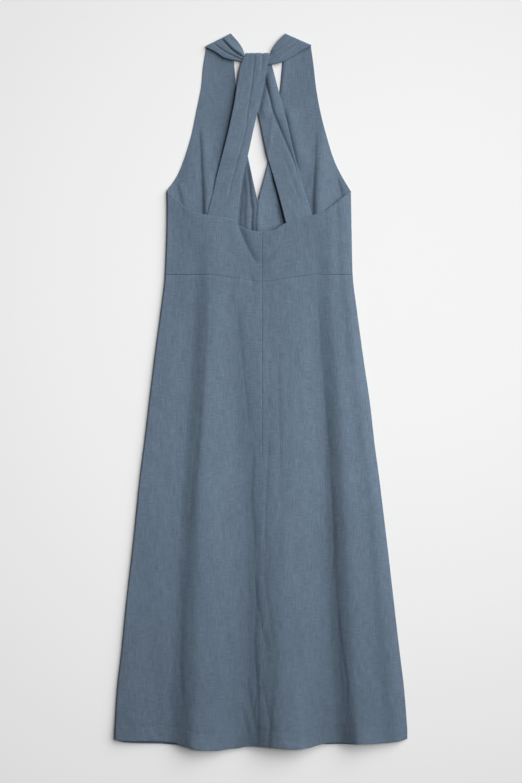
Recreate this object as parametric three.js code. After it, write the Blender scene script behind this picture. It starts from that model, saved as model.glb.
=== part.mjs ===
// A halter-neck linen midi dress, laid flat on its front, so that its back faces up.
// X runs across the dress, +Y runs from the hem to the neck, and +Z points up from the surface it lies on.
// Heights in Y are measured from a level line through the hem. All sizes are in millimetres.
import * as THREE from "three";

// Driving sizes.
const wall = 1.2; // one layer of cloth with its turnings
const strapWall = 2; // the strap is a tube of the same cloth, pressed flat
const seamGap = 0.3; // between two pieces that are sewn together
const neckHeight = 1250; // the top of the turned-over halter
const hemDrop = 3.5; // how far the lowest point of the hem is below its level line
const waistHeight = 828; // the waist seam
const seamDip = { depth: 12, middle: 2, width: 55 }; // the back waist seam dips at its middle
const centreBack = 1.75;
const centreFront = -5.3;
const underarm = { height: 974.8, left: -165.4, right: 156.6 };
const halterTurn = 2; // radius in which the halter turns over at the shoulder, at the middle of its wall
const loopTurn = 3.3; // radius in which the strap turns over the neckband

// The side seams, seen from above.
const sideTable = [
  { y: 974.8, left: -165.4, right: 156.6 },
  { y: 903, left: -164.8, right: 158.2 },
  { y: 828, left: -168, right: 160.5 },
  { y: 763, left: -175.5, right: 168.2 },
  { y: 679, left: -186.5, right: 179.5 },
  { y: 595, left: -196.5, right: 191.5 },
  { y: 532, left: -203.8, right: 198.5 },
  { y: 469, left: -211.8, right: 206.8 },
  { y: 406, left: -218.2, right: 214.4 },
  { y: 343, left: -224.6, right: 221.8 },
  { y: 280, left: -231.8, right: 229 },
  { y: 217, left: -238.6, right: 236 },
  { y: 154, left: -244.6, right: 243.2 },
  { y: 91, left: -251.5, right: 250.4 },
  { y: 17.5, left: -255.5, right: 256 },
];

// The hem of the back skirt and of the front skirt, from left to right.
const backHemTable = [
  { x: -255.5, y: 19.5 },
  { x: -240, y: 12 },
  { x: -212, y: 12.8 },
  { x: -178, y: 12 },
  { x: -148, y: 8.8 },
  { x: -137, y: 5 },
  { x: -122, y: 3.4 },
  { x: -110, y: -1.2 },
  { x: -96, y: -2.4 },
  { x: -75, y: -3.5 },
  { x: -54, y: -1.5 },
  { x: -40, y: -0.8 },
  { x: -26, y: 2.2 },
  { x: -8, y: 3.2 },
  { x: 10, y: 4 },
  { x: 34, y: 3 },
  { x: 61, y: 1 },
  { x: 79, y: 1.8 },
  { x: 96, y: 5.5 },
  { x: 115, y: 9 },
  { x: 168, y: 10 },
  { x: 204, y: 10 },
  { x: 240, y: 13.5 },
  { x: 256, y: 19.5 },
];
const frontHemTable = [
  { x: -255.5, y: 19.5 },
  { x: -236, y: 10.5 },
  { x: -178, y: 8.4 },
  { x: -148, y: 6.3 },
  { x: -90, y: 7 },
  { x: 0, y: 9 },
  { x: 90, y: 8 },
  { x: 115, y: 7 },
  { x: 141, y: 7.5 },
  { x: 168, y: 6.3 },
  { x: 204, y: 9.5 },
  { x: 236, y: 11.5 },
  { x: 256, y: 19.5 },
];

// Ridges and valleys that run down the back, at five stations between the neckline and the hem.
// Each ridge rises steeply on its left and falls away gently on its right.
// lift is the height of the cloth's underside above the front layer.
const stations = { top: 930, waist: 828, hip: 600, knee: 300, hem: 0 };
const foldTable = [
  {
    fold: "left side",
    x: { top: -160.5, waist: -164, hip: -192, knee: -225.5, hem: -251 },
    lift: { top: 3, waist: 3, hip: 3.2, knee: 3.2, hem: 3 },
  },
  {
    fold: "left valley",
    x: { top: -120, waist: -122, hip: -132, knee: -150, hem: -163 },
    lift: { top: 5.5, waist: 3, hip: 2.2, knee: 2.4, hem: 2.2 },
  },
  {
    fold: "left ridge",
    x: { top: -84, waist: -91, hip: -98, knee: -107, hem: -113 },
    lift: { top: 7.6, waist: 8.6, hip: 10, knee: 12, hem: 12 },
  },
  {
    fold: "centre valley",
    x: { top: -46, waist: -50, hip: -40, knee: -27, hem: -33 },
    lift: { top: 6.6, waist: 6.6, hip: 4.6, knee: 3.6, hem: 2.6 },
  },
  {
    fold: "centre ridge",
    x: { top: 3, waist: 5, hip: 5, knee: 4, hem: 8 },
    lift: { top: 8.6, waist: 7.4, hip: 8.8, knee: 9.4, hem: 9.5 },
  },
  {
    fold: "inner right ridge",
    x: { top: 50, waist: 48, hip: 51, knee: 33, hem: 39 },
    lift: { top: 10, waist: 7.8, hip: 9.6, knee: 12.6, hem: 15 },
  },
  {
    fold: "right valley",
    x: { top: 92, waist: 96, hip: 107, knee: 114, hem: 130 },
    lift: { top: 9, waist: 4.2, hip: 2.4, knee: 2, hem: 2.6 },
  },
  {
    fold: "right ridge",
    x: { top: 112, waist: 118, hip: 138, knee: 155, hem: 172 },
    lift: { top: 7, waist: 7.2, hip: 9.8, knee: 12.4, hem: 12 },
  },
  {
    fold: "right side",
    x: { top: 134, waist: 146, hip: 178, knee: 212, hem: 238 },
    lift: { top: 5, waist: 4.2, hip: 6, knee: 6, hem: 5 },
  },
];

// The top edge of the back bodice, from the left underarm to the right one.
const backEdgeTable = [
  { x: -165.4, y: 974.8 },
  { x: -148, y: 959.7 },
  { x: -123, y: 939 },
  { x: -94.5, y: 932 },
  { x: -52, y: 925 },
  { x: -40, y: 914 },
  { x: -21, y: 906 },
  { x: 2.8, y: 902 },
  { x: 19.5, y: 904.5 },
  { x: 44, y: 918 },
  { x: 87.5, y: 931 },
  { x: 105, y: 935.5 },
  { x: 121, y: 946 },
  { x: 140, y: 961 },
  { x: 156.6, y: 974.8 },
];

// Drag lines pressed into the back bodice.
const creaseTable = [
  { name: "drag from the left strap", fromX: -44, fromY: 914, toX: -6, toY: 846, depth: 3, halfWidth: 13 },
  { name: "drag from the right strap", fromX: 48, fromY: 905, toX: 22, toY: 850, depth: 1.2, halfWidth: 12 },
];

// Soft humps where the front bodice stands off the surface.
const humpTable = [
  { hump: "left armhole", x: -122, y: 1012, halfWidth: 24, halfLength: 78, height: 4.5 },
  { hump: "left bust", x: -72, y: 1005, halfWidth: 28, halfLength: 90, height: 2.2 },
  { hump: "centre front", x: -8, y: 945, halfWidth: 32, halfLength: 62, height: 4.6 },
  { hump: "right bust", x: 60, y: 1005, halfWidth: 30, halfLength: 90, height: 3.5 },
  { hump: "right armhole", x: 121, y: 1000, halfWidth: 25, halfLength: 76, height: 4.5 },
];

// Sections of each halter panel above the underarm: outer is its armhole edge, inner its neckline edge.
const leftHalterTable = [
  { section: "underarm", outerX: -165.4, outerY: 974.8, innerX: -5.3, innerY: 960.8 },
  { section: "armpit", outerX: -147.5, outerY: 1000, innerX: -13, innerY: 988 },
  { section: "bust", outerX: -134.8, outerY: 1029, innerX: -20, innerY: 1021 },
  { section: "upper bust", outerX: -122, outerY: 1071, innerX: -29, innerY: 1067 },
  { section: "chest", outerX: -113.4, outerY: 1113, innerX: -38, innerY: 1114 },
  { section: "collar bone", outerX: -105, outerY: 1155, innerX: -44, innerY: 1160 },
  { section: "neck", outerX: -101, outerY: 1195, innerX: -47.6, innerY: 1207 },
  { section: "turn", outerX: -97.1, outerY: 1227.6, innerX: -52.5, innerY: 1250 },
];
const rightHalterTable = [
  { section: "underarm", outerX: 156.6, outerY: 974.8, innerX: -5.3, innerY: 960.8 },
  { section: "armpit", outerX: 141, outerY: 1001, innerX: 3.6, innerY: 988 },
  { section: "bust", outerX: 127.5, outerY: 1029, innerX: 11.5, innerY: 1021 },
  { section: "upper bust", outerX: 114.5, outerY: 1071, innerX: 19, innerY: 1067 },
  { section: "chest", outerX: 104, outerY: 1113, innerX: 26.7, innerY: 1114 },
  { section: "collar bone", outerX: 96.5, outerY: 1155, innerX: 34, innerY: 1160 },
  { section: "neck", outerX: 91.6, outerY: 1197, innerX: 37.8, innerY: 1207 },
  { section: "turn", outerX: 88.4, outerY: 1229.4, innerX: 42, innerY: 1250 },
];

// Sections of the turned-over end, which is gathered into the neckband.
// z is the middle of the wall, and pleat is how far it waves above and below that.
const leftBandTable = [
  { section: "turn", outerX: -97.1, outerY: 1227.6, innerX: -52.5, innerY: 1250, z: 4.6, pleat: 0 },
  { section: "shoulder", outerX: -80, outerY: 1215, innerX: -43.8, innerY: 1239, z: 4.6, pleat: 0.2 },
  { section: "gathers begin", outerX: -65.3, outerY: 1204.3, innerX: -37.5, innerY: 1231, z: 4.6, pleat: 0.5 },
  { section: "gathers", outerX: -50, outerY: 1199.8, innerX: -32.5, innerY: 1222.5, z: 4.5, pleat: 0.9 },
  { section: "under the loop", outerX: -35, outerY: 1197.8, innerX: -27.5, innerY: 1211.3, z: 4.3, pleat: 1.2 },
  { section: "in the loop", outerX: -20, outerY: 1195.6, innerX: -18, innerY: 1209.8, z: 4.3, pleat: 1.2 },
  { section: "nape", outerX: -7.9, outerY: 1194.3, innerX: -7.9, innerY: 1209.5, z: 4.3, pleat: 1.2 },
];
const rightBandTable = [
  { section: "turn", outerX: 88.4, outerY: 1229.4, innerX: 42, innerY: 1250, z: 4.6, pleat: 0 },
  { section: "shoulder", outerX: 69.7, outerY: 1219.5, innerX: 33.5, innerY: 1241, z: 4.6, pleat: 0.2 },
  { section: "gathers begin", outerX: 54.3, outerY: 1209, innerX: 26.5, innerY: 1232.5, z: 4.6, pleat: 0.5 },
  { section: "gathers", outerX: 39, outerY: 1200.5, innerX: 20.2, innerY: 1223, z: 4.5, pleat: 0.9 },
  { section: "under the loop", outerX: 23, outerY: 1196, innerX: 14.6, innerY: 1211.5, z: 4.3, pleat: 1.2 },
  { section: "in the loop", outerX: 8, outerY: 1194.4, innerX: 5, innerY: 1209.8, z: 4.3, pleat: 1.2 },
  { section: "nape", outerX: -7.6, outerY: 1194.3, innerX: -7.6, innerY: 1209.5, z: 4.3, pleat: 1.2 },
];
const bandPleats = 2;

// Sections of the strap: its upper leg from the left of the back bodice to the nape,
// then its under leg from the nape to the right. z is the middle of its wall.
const upperLegTable = [
  { section: "sewn end", leftX: -97, leftY: 919, rightX: -45, rightY: 903, z: 6.2, pleat: 0.3 },
  { section: "bodice edge", leftX: -93.6, leftY: 932.5, rightX: -42.5, rightY: 921, z: 6.4, pleat: 0.4 },
  { section: "low", leftX: -84, leftY: 971, rightX: -36.2, rightY: 970, z: 6.6, pleat: 0.6 },
  { section: "lower middle", leftX: -75.3, leftY: 1009, rightX: -29, rightY: 1009, z: 6.7, pleat: 0.6 },
  { section: "middle", leftX: -65.3, leftY: 1045.6, rightX: -20.8, rightY: 1045.6, z: 6.8, pleat: 0.6 },
  { section: "upper middle", leftX: -56.7, leftY: 1080, rightX: -13.4, rightY: 1080, z: 6.9, pleat: 0.6 },
  { section: "high", leftX: -46.5, leftY: 1129, rightX: -2.2, rightY: 1129, z: 7.1, pleat: 0.5 },
  { section: "crossing", leftX: -41.5, leftY: 1162, rightX: 5.2, rightY: 1162, z: 7.4, pleat: 0.4 },
  { section: "over the neckband", leftX: -35.5, leftY: 1193.5, rightX: 11, rightY: 1193.5, z: 7.6, pleat: 0.2 },
  { section: "nape", leftX: -27.5, leftY: 1215.4, rightX: 14.5, rightY: 1215.4, z: 7.6, pleat: 0 },
];
const underLegTable = [
  { section: "nape", leftX: -27.5, leftY: 1215.4, rightX: 14.5, rightY: 1215.4, z: 1, pleat: 0 },
  { section: "under the neckband", leftX: -23.5, leftY: 1193.5, rightX: 19.3, rightY: 1193.5, z: 1, pleat: 0 },
  { section: "crossing", leftX: -17, leftY: 1162, rightX: 27.3, rightY: 1162, z: 2.3, pleat: 0.3 },
  { section: "high", leftX: -9.8, leftY: 1128.8, rightX: 36.2, rightY: 1128.8, z: 3.7, pleat: 0.4 },
  { section: "upper middle", leftX: -2.4, leftY: 1097.3, rightX: 44.8, rightY: 1097.3, z: 4.5, pleat: 0.6 },
  { section: "middle", leftX: 10.3, leftY: 1036, rightX: 58.3, rightY: 1036, z: 6.4, pleat: 0.6 },
  { section: "low", leftX: 26.3, leftY: 976.5, rightX: 74.4, rightY: 977, z: 8, pleat: 0.6 },
  { section: "bodice edge", leftX: 43.4, leftY: 917.7, rightX: 89.3, rightY: 932, z: 8.4, pleat: 0.5 },
  { section: "sewn end", leftX: 47.5, leftY: 904, rightX: 92.5, rightY: 918, z: 8.4, pleat: 0.3 },
];
const strapPleats = 1.5;

// How finely each piece is divided.
const divisions = {
  sideRoll: 5, flank: 5, nearCentre: 5, atCentre: 1, skirtRows: 20, backBodiceRows: 8,
  frontSkirtColumns: 16, frontSkirtRows: 14,
  halterColumns: 12, lowerRows: 6, halterRows: 22, turnSteps: 7, bandRows: 12,
  strapColumns: 9, legRows: 22, loopSteps: 9,
};

const up = new THREE.Vector3(0, 0, 1);
const mix = (a, b, share) => a + (b - a) * share;

// One column of a table where another column reads `at`: a smooth curve that never overshoots its rows.
// levelEnds makes it start and finish level.
function readTable(table, key, at, column, levelEnds = false) {
  const rows = [...table].sort((a, b) => a[key] - b[key]);
  const last = rows.length - 1;
  if (at <= rows[0][key]) return rows[0][column];
  if (at >= rows[last][key]) return rows[last][column];
  const steepness = (i) => (rows[i + 1][column] - rows[i][column]) / (rows[i + 1][key] - rows[i][key]);
  const slopeAt = (i) => {
    if (levelEnds && (i === 0 || i === last)) return 0;
    if (i === 0) return steepness(0);
    if (i === last) return steepness(last - 1);
    const [before, after] = [steepness(i - 1), steepness(i)];
    return before * after <= 0 ? 0 : (2 * before * after) / (before + after);
  };
  const i = rows.findIndex((row) => row[key] > at) - 1;
  const span = rows[i + 1][key] - rows[i][key];
  const t = (at - rows[i][key]) / span;
  return (
    rows[i][column] * (1 + 2 * t) * (1 - t) ** 2 +
    slopeAt(i) * span * t * (1 - t) ** 2 +
    rows[i + 1][column] * t * t * (3 - 2 * t) +
    slopeAt(i + 1) * span * t * t * (t - 1)
  );
}

// A smooth curve through two columns of a table, which reaches row i at share i / (rows - 1).
function edgeCurve(table, xColumn, yColumn) {
  const points = table.map((row) => new THREE.Vector3(row[xColumn], row[yColumn], 0));
  return new THREE.CatmullRomCurve3(points, false, "centripetal");
}

// A value from a table's column at a share of the way through its rows.
function readRow(table, share, column) {
  const place = share * (table.length - 1);
  const i = Math.min(Math.floor(place), table.length - 2);
  const t = place - i;
  return mix(table[i][column], table[i + 1][column], t * t * (3 - 2 * t));
}

// The rise of the cloth from a side seam: a round edge.
const seamRise = (share) => Math.sqrt(1 - (1 - share) ** 2);

// A ridge or valley of the fold table at height y, as its place across and its lift.
function foldAt(row, y) {
  const rows = Object.keys(stations).map((name) => ({ y: stations[name], x: row.x[name], lift: row.lift[name] }));
  return { x: readTable(rows, "y", y, "x"), lift: readTable(rows, "y", y, "lift") };
}

// How far drag lines press the back down at a point.
function creaseDepth(x, y) {
  return creaseTable.reduce((depth, crease) => {
    const along = new THREE.Vector2(crease.toX - crease.fromX, crease.toY - crease.fromY);
    const from = new THREE.Vector2(x - crease.fromX, y - crease.fromY);
    const share = from.dot(along) / along.lengthSq();
    const off = Math.abs(from.cross(along)) / along.length() / crease.halfWidth;
    if (share <= 0 || share >= 1 || off >= 1) return depth;
    return depth + crease.depth * Math.sin(share * Math.PI) * (1 - off * off) ** 2;
  }, 0);
}

// Points across the back at height y, from one side to the centre-back seam: the middle of the wall.
function backProfile(side, y) {
  const folds = foldTable.map((row) => foldAt(row, y));
  const inwards = side === "left" ? wall / 2 : -wall / 2;
  const seam = { x: readTable(sideTable, "y", y, side) + inwards, lift: -wall / 2 };
  const knots = side === "left" ? [seam, ...folds] : [seam, ...folds.toReversed()];
  const seamEdge = centreBack + (side === "left" ? -seamGap : seamGap) / 2;
  const places = [];
  for (let i = 0; i + 1 < knots.length; i += 1) {
    const [a, b] = [knots[i], knots[i + 1]];
    const reach = Math.min((seamEdge - a.x) / (b.x - a.x), 1); // less than 1 where the centre-back seam ends it
    const lastSteps = side === "left" ? divisions.nearCentre : divisions.atCentre;
    const steps = i === 0 ? divisions.sideRoll : reach < 1 ? lastSteps : divisions.flank;
    for (let step = i === 0 ? 0 : 1; step <= steps; step += 1) {
      const share = i === 0 ? 1 - Math.cos((step / steps) * (Math.PI / 2)) : (step / steps) * reach;
      const x = mix(a.x, b.x, share);
      const lift = i === 0 ? mix(a.lift, b.lift, seamRise(share)) : readTable(folds, "x", x, "lift", true);
      places.push({ x, z: wall + seamGap + wall / 2 + lift });
    }
    if (reach < 1) break;
  }
  return places;
}

const backWaist = (x) => waistHeight - seamDip.depth * Math.exp(-(((x - seamDip.middle) / seamDip.width) ** 2));

// How far the front bodice stands off the surface.
function frontLift(x, y) {
  return humpTable.reduce((lift, hump) => {
    const off = ((x - hump.x) / hump.halfWidth) ** 2 + ((y - hump.y) / hump.halfLength) ** 2;
    return off >= 1 ? lift : lift + hump.height * (1 - off) ** 2;
  }, 0);
}

// The direction square to a surface at one of its points, from the points around it.
function squareTo(rows, i, j) {
  const clamp = (value, most) => Math.min(Math.max(value, 0), most);
  const [lastRow, lastColumn] = [rows.length - 1, rows[0].length - 1];
  const down = rows[clamp(i + 1, lastRow)][j].clone().sub(rows[clamp(i - 1, lastRow)][j]);
  const across = rows[i][clamp(j + 1, lastColumn)].clone().sub(rows[i][clamp(j - 1, lastColumn)]);
  return across.cross(down).normalize();
}

// A closed solid from rows of points: its wall lies half on each side of them.
// square changes the direction of the wall at an edge, so that the edge's face is true to its seam.
function sheet(rows, thickness, square = (direction) => direction) {
  const columns = rows[0].length;
  const positions = [];
  for (const face of [1, -1])
    rows.forEach((row, i) => row.forEach((point, j) => {
      const normal = square(squareTo(rows, i, j), i, j).normalize();
      positions.push(...point.clone().addScaledVector(normal, (face * thickness) / 2));
    }));
  const at = (face, i, j) => (face * rows.length + i) * columns + j;
  const index = [];
  const quad = (a, b, c, d) => index.push(a, b, c, a, c, d);
  const lastRow = rows.length - 1;
  const lastColumn = columns - 1;
  for (let i = 0; i < lastRow; i += 1)
    for (let j = 0; j < lastColumn; j += 1) {
      quad(at(0, i, j), at(0, i, j + 1), at(0, i + 1, j + 1), at(0, i + 1, j));
      quad(at(1, i, j), at(1, i + 1, j), at(1, i + 1, j + 1), at(1, i, j + 1));
    }
  for (let j = 0; j < lastColumn; j += 1) {
    quad(at(0, 0, j), at(1, 0, j), at(1, 0, j + 1), at(0, 0, j + 1));
    quad(at(0, lastRow, j), at(0, lastRow, j + 1), at(1, lastRow, j + 1), at(1, lastRow, j));
  }
  for (let i = 0; i < lastRow; i += 1) {
    quad(at(0, i, 0), at(0, i + 1, 0), at(1, i + 1, 0), at(1, i, 0));
    quad(at(0, i, lastColumn), at(1, i, lastColumn), at(1, i + 1, lastColumn), at(0, i + 1, lastColumn));
  }
  const geometry = new THREE.BufferGeometry();
  geometry.setAttribute("position", new THREE.Float32BufferAttribute(positions, 3));
  geometry.setIndex(facingOut(positions, index));
  geometry.computeVertexNormals();
  return geometry;
}

// The triangles turned round if the solid they bound has a negative volume.
function facingOut(positions, index) {
  const corner = (i) => new THREE.Vector3().fromArray(positions, 3 * index[i]);
  let volume = 0;
  for (let i = 0; i < index.length; i += 3) volume += corner(i).dot(corner(i + 1).cross(corner(i + 2)));
  return volume > 0 ? index : index.reverse();
}

// Rows of half of the back between two edges, each edge a function of x, where the folds run between two stations.
function backRows(side, fromEdge, toEdge, fromStation, toStation, count) {
  const rows = [];
  for (let i = 0; i <= count; i += 1) {
    const share = i / count;
    const places = backProfile(side, mix(fromStation, toStation, share));
    rows.push(places.map(({ x, z }) => {
      const y = mix(fromEdge(x), toEdge(x), share);
      return new THREE.Vector3(x, y, z - creaseDepth(x, y));
    }));
  }
  return rows;
}

// The side seam's face is level, because it lies on the front; the centre-back seam's face is upright.
const backSheet = (rows) => {
  const seamColumn = rows[0].length - 1;
  return sheet(rows, wall, (direction, i, j) => {
    if (i === 0) direction.setY(0);
    if (j === seamColumn) direction.setX(0);
    return j === 0 ? direction.setZ(0) : direction;
  });
};

// Half of the back bodice, from the waist seam to its top edge.
function backBodice(side) {
  const waistEdge = (x) => backWaist(x) + seamGap / 2;
  const topEdge = (x) => readTable(backEdgeTable, "x", x, "y");
  return backSheet(backRows(side, waistEdge, topEdge, stations.waist, stations.top, divisions.backBodiceRows));
}

// Half of the back skirt, from the waist seam to the hem.
function backSkirt(side) {
  const waistEdge = (x) => backWaist(x) - seamGap / 2;
  const hemEdge = (x) => readTable(backHemTable, "x", x, "y");
  return backSheet(backRows(side, waistEdge, hemEdge, stations.waist, stations.hem, divisions.skirtRows));
}

// The front skirt, which lies on the surface.
function frontSkirt() {
  const rows = [];
  for (let i = 0; i <= divisions.frontSkirtRows; i += 1) {
    const share = i / divisions.frontSkirtRows;
    const level = mix(waistHeight, stations.hem, share);
    const [left, right] = ["left", "right"].map((side) => readTable(sideTable, "y", level, side));
    const row = [];
    for (let j = 0; j <= divisions.frontSkirtColumns; j += 1) {
      const x = mix(left, right, j / divisions.frontSkirtColumns);
      const y = mix(waistHeight - seamGap / 2, readTable(frontHemTable, "x", x, "y"), share);
      row.push(new THREE.Vector3(x, y, wall / 2));
    }
    rows.push(row);
  }
  return sheet(rows, wall);
}

// Rows between two edges, each edge a function of the share of the way along, with a rule for each point.
function rowsBetween(outerEdge, innerEdge, count, columns, place) {
  const rows = [];
  for (let i = 0; i <= count; i += 1) {
    const share = i / count;
    const [outer, inner] = [outerEdge(share), innerEdge(share)];
    const row = [];
    for (let j = 0; j <= columns; j += 1) {
      const across = j / columns;
      row.push(place(outer.clone().lerp(inner, across), share, across));
    }
    rows.push(row);
  }
  return rows;
}

// A turn of 180 degrees about the line through two ends, from the lower layer to the upper one.
// The line is the outermost edge of the turned cloth, and outward points away from the piece.
function turnOver(ends, outward, radius, thickness, columns, steps) {
  const axis = ends.map((end) => end.clone().addScaledVector(outward, -(radius + thickness / 2)));
  const rows = [];
  for (let i = 0; i <= steps; i += 1) {
    const angle = (i / steps) * Math.PI;
    const turned = outward.clone().multiplyScalar(Math.sin(angle)).addScaledVector(up, -Math.cos(angle));
    const row = [];
    for (let j = 0; j <= columns; j += 1) {
      const point = axis[0].clone().lerp(axis[1], j / columns).addScaledVector(turned, radius);
      point.z += thickness / 2 + radius;
      row.push(point);
    }
    rows.push(row);
  }
  return { rows, axis };
}

// The outward direction of a line between two ends, which points towards the neck.
function awayFromHem(ends) {
  const along = ends[1].clone().sub(ends[0]).normalize();
  const away = new THREE.Vector3(-along.y, along.x, 0);
  return away.y > 0 ? away : away.negate();
}

// A section table with the corners of its turn moved back to where the cloth starts to bend.
function startingAt(table, axis, index, [outerX, outerY], [innerX, innerY]) {
  const moved = table.map((row) => ({ ...row }));
  moved[index][outerX] = axis[0].x;
  moved[index][outerY] = axis[0].y;
  moved[index][innerX] = axis[1].x;
  moved[index][innerY] = axis[1].y;
  return moved;
}

const outerKeys = ["outerX", "outerY"];
const innerKeys = ["innerX", "innerY"];
const leftKeys = ["leftX", "leftY"];
const rightKeys = ["rightX", "rightY"];
const planPoint = (row, [x, y]) => new THREE.Vector3(row[x], row[y], 0);

// Half of the front bodice with its halter panel: it lies face down, turns over at the shoulder,
// and comes back on top, gathered into half of the neckband.
function frontBodice(side, halterTable, bandTable) {
  const columns = divisions.halterColumns;
  const ends = [outerKeys, innerKeys].map((keys) => planPoint(halterTable.at(-1), keys));
  const turn = turnOver(ends, awayFromHem(ends), halterTurn, wall, columns, divisions.turnSteps);
  const halter = startingAt(halterTable, turn.axis, halterTable.length - 1, outerKeys, innerKeys);
  const band = startingAt(bandTable, turn.axis, 0, outerKeys, innerKeys);
  const onSurface = (point) => point.setZ(frontLift(point.x, point.y) + wall / 2);
  const seamX = centreFront + (side === "left" ? -seamGap : seamGap) / 2;
  const sideEdge = (share) => {
    const y = mix(waistHeight + seamGap / 2, underarm.height, share);
    return new THREE.Vector3(readTable(sideTable, "y", y, side), y, 0);
  };
  const seamEdge = (share) => new THREE.Vector3(seamX, mix(waistHeight + seamGap / 2, halter[0].innerY, share), 0);
  halter[0].innerX = seamX;
  const lower = rowsBetween(sideEdge, seamEdge, divisions.lowerRows, columns, onSurface);
  const [armhole, neckline] = [edgeCurve(halter, ...outerKeys), edgeCurve(halter, ...innerKeys)];
  const upper = rowsBetween(
    (share) => armhole.getPoint(share), (share) => neckline.getPoint(share), divisions.halterRows, columns, onSurface,
  );
  const [lowEdge, topEdge] = [edgeCurve(band, ...outerKeys), edgeCurve(band, ...innerKeys)];
  const gathered = rowsBetween(
    (share) => lowEdge.getPoint(share), (share) => topEdge.getPoint(share), divisions.bandRows, columns,
    (point, share, across) => {
      const wave = Math.cos(across * bandPleats * 2 * Math.PI);
      return point.setZ(readRow(band, share, "z") - readRow(band, share, "pleat") * wave);
    },
  );
  return sheet([...lower, ...upper.slice(1, -1), ...turn.rows, ...gathered.slice(1)], wall, (direction, i, j) => {
    if (j === columns && i <= divisions.lowerRows) direction.setX(0);
    return direction;
  });
}

// The back strap: one length of tube that rises from the left of the back bodice,
// loops over the neckband and passes under it to the right of the back bodice.
function backStrap() {
  const columns = divisions.strapColumns;
  const ends = [leftKeys, rightKeys].map((keys) => planPoint(upperLegTable.at(-1), keys));
  const loop = turnOver(ends, awayFromHem(ends), loopTurn, strapWall, columns, divisions.loopSteps);
  const upper = startingAt(upperLegTable, loop.axis, upperLegTable.length - 1, leftKeys, rightKeys);
  const under = startingAt(underLegTable, loop.axis, 0, leftKeys, rightKeys);
  const legRows = (table) => {
    const [left, right] = [edgeCurve(table, ...leftKeys), edgeCurve(table, ...rightKeys)];
    return rowsBetween(
      (share) => left.getPoint(share), (share) => right.getPoint(share), divisions.legRows, columns,
      (point, share, across) => {
        const wave = Math.cos(across * strapPleats * 2 * Math.PI);
        return point.setZ(readRow(table, share, "z") + readRow(table, share, "pleat") * wave);
      },
    );
  };
  const turned = loop.rows.reverse();
  return sheet([...legRows(upper).slice(0, -1), ...turned, ...legRows(under).slice(1)], strapWall);
}

const linen = new THREE.MeshStandardMaterial({ color: 0x647484, roughness: 0.92, metalness: 0 });
const pieces = {
  front_skirt: frontSkirt(),
  front_bodice_left: frontBodice("left", leftHalterTable, leftBandTable),
  front_bodice_right: frontBodice("right", rightHalterTable, rightBandTable),
  back_skirt_left: backSkirt("left"),
  back_skirt_right: backSkirt("right"),
  back_bodice_left: backBodice("left"),
  back_bodice_right: backBodice("right"),
  back_strap: backStrap(),
};

const dress = new THREE.Group();
for (const [name, geometry] of Object.entries(pieces)) {
  const mesh = new THREE.Mesh(geometry, linen.clone());
  mesh.name = name;
  dress.add(mesh);
}
dress.position.y = -(neckHeight - hemDrop) / 2; // the frame's origin is at the middle of the dress

const part = new THREE.Group();
part.add(dress);
export default part;
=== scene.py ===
"""A halter-neck linen midi dress, laid flat on its front on a pale floor, so that its back faces up.

Section tables are in millimetres: x across the dress, y from the lowest point of the hem towards
the neck, z up from the floor. The frame is in metres, with its origin at the middle of the dress.
"""

import math

import bpy
import numpy as np
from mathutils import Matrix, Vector


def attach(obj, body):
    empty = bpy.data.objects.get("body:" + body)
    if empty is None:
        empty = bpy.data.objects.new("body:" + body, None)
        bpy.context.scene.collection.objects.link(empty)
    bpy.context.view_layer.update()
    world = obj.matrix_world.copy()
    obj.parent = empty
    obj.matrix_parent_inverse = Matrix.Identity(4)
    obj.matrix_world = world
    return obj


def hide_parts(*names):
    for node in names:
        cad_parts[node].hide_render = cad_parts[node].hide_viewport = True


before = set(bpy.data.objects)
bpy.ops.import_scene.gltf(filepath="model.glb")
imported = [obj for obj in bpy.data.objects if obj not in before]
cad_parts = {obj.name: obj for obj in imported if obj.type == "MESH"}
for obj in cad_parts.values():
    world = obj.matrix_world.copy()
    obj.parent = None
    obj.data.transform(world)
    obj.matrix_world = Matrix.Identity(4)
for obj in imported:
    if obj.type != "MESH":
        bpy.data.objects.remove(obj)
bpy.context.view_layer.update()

bl_info = {
    "name": "Halter midi dress, laid flat",
    "version": (1, 0, 0),
    "blender": (4, 5, 0),
    "location": "3D View > Sidebar > Dress",
    "description": "Builds a linen halter midi dress laid flat on its front, with its folds and sewing",
    "category": "Object",
}

MM = 0.001
MIDDLE = 623.25  # how far up the dress its middle is
WALL = 1.2  # one layer of linen with its turnings
STRAP_WALL = 2.0  # a flat tube of the same linen
RIM = 0.25  # how thick a rounded edge still is at its rim, as a share of the wall
SEAM_GAP = 0.3  # between two panels that are sewn to each other
SEWN_GAP = 0.1  # what a closed seam shows between its two edges
SEAM_REACH = 3.0  # how far from a seam its two edges are pressed shut
DIP_WIDTH = 1.1  # how wide the hollow beside a seam is
SKIRT_DIPS = {"waist": 0.8, "edge": 0.2, "centre": 0.5}  # how deep those hollows are
BODICE_DIPS = {"waist": 0.1, "edge": 0.25, "centre": 0.5}
WAIST = 828.0
WAIST_DIP, WAIST_DIP_X, WAIST_DIP_WIDTH = 12.0, 2.0, 55.0
CENTRE_BACK = 1.75
CENTRE_FRONT = -5.3
UNDERARM = 974.8
NAPE = 1215.0
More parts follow.
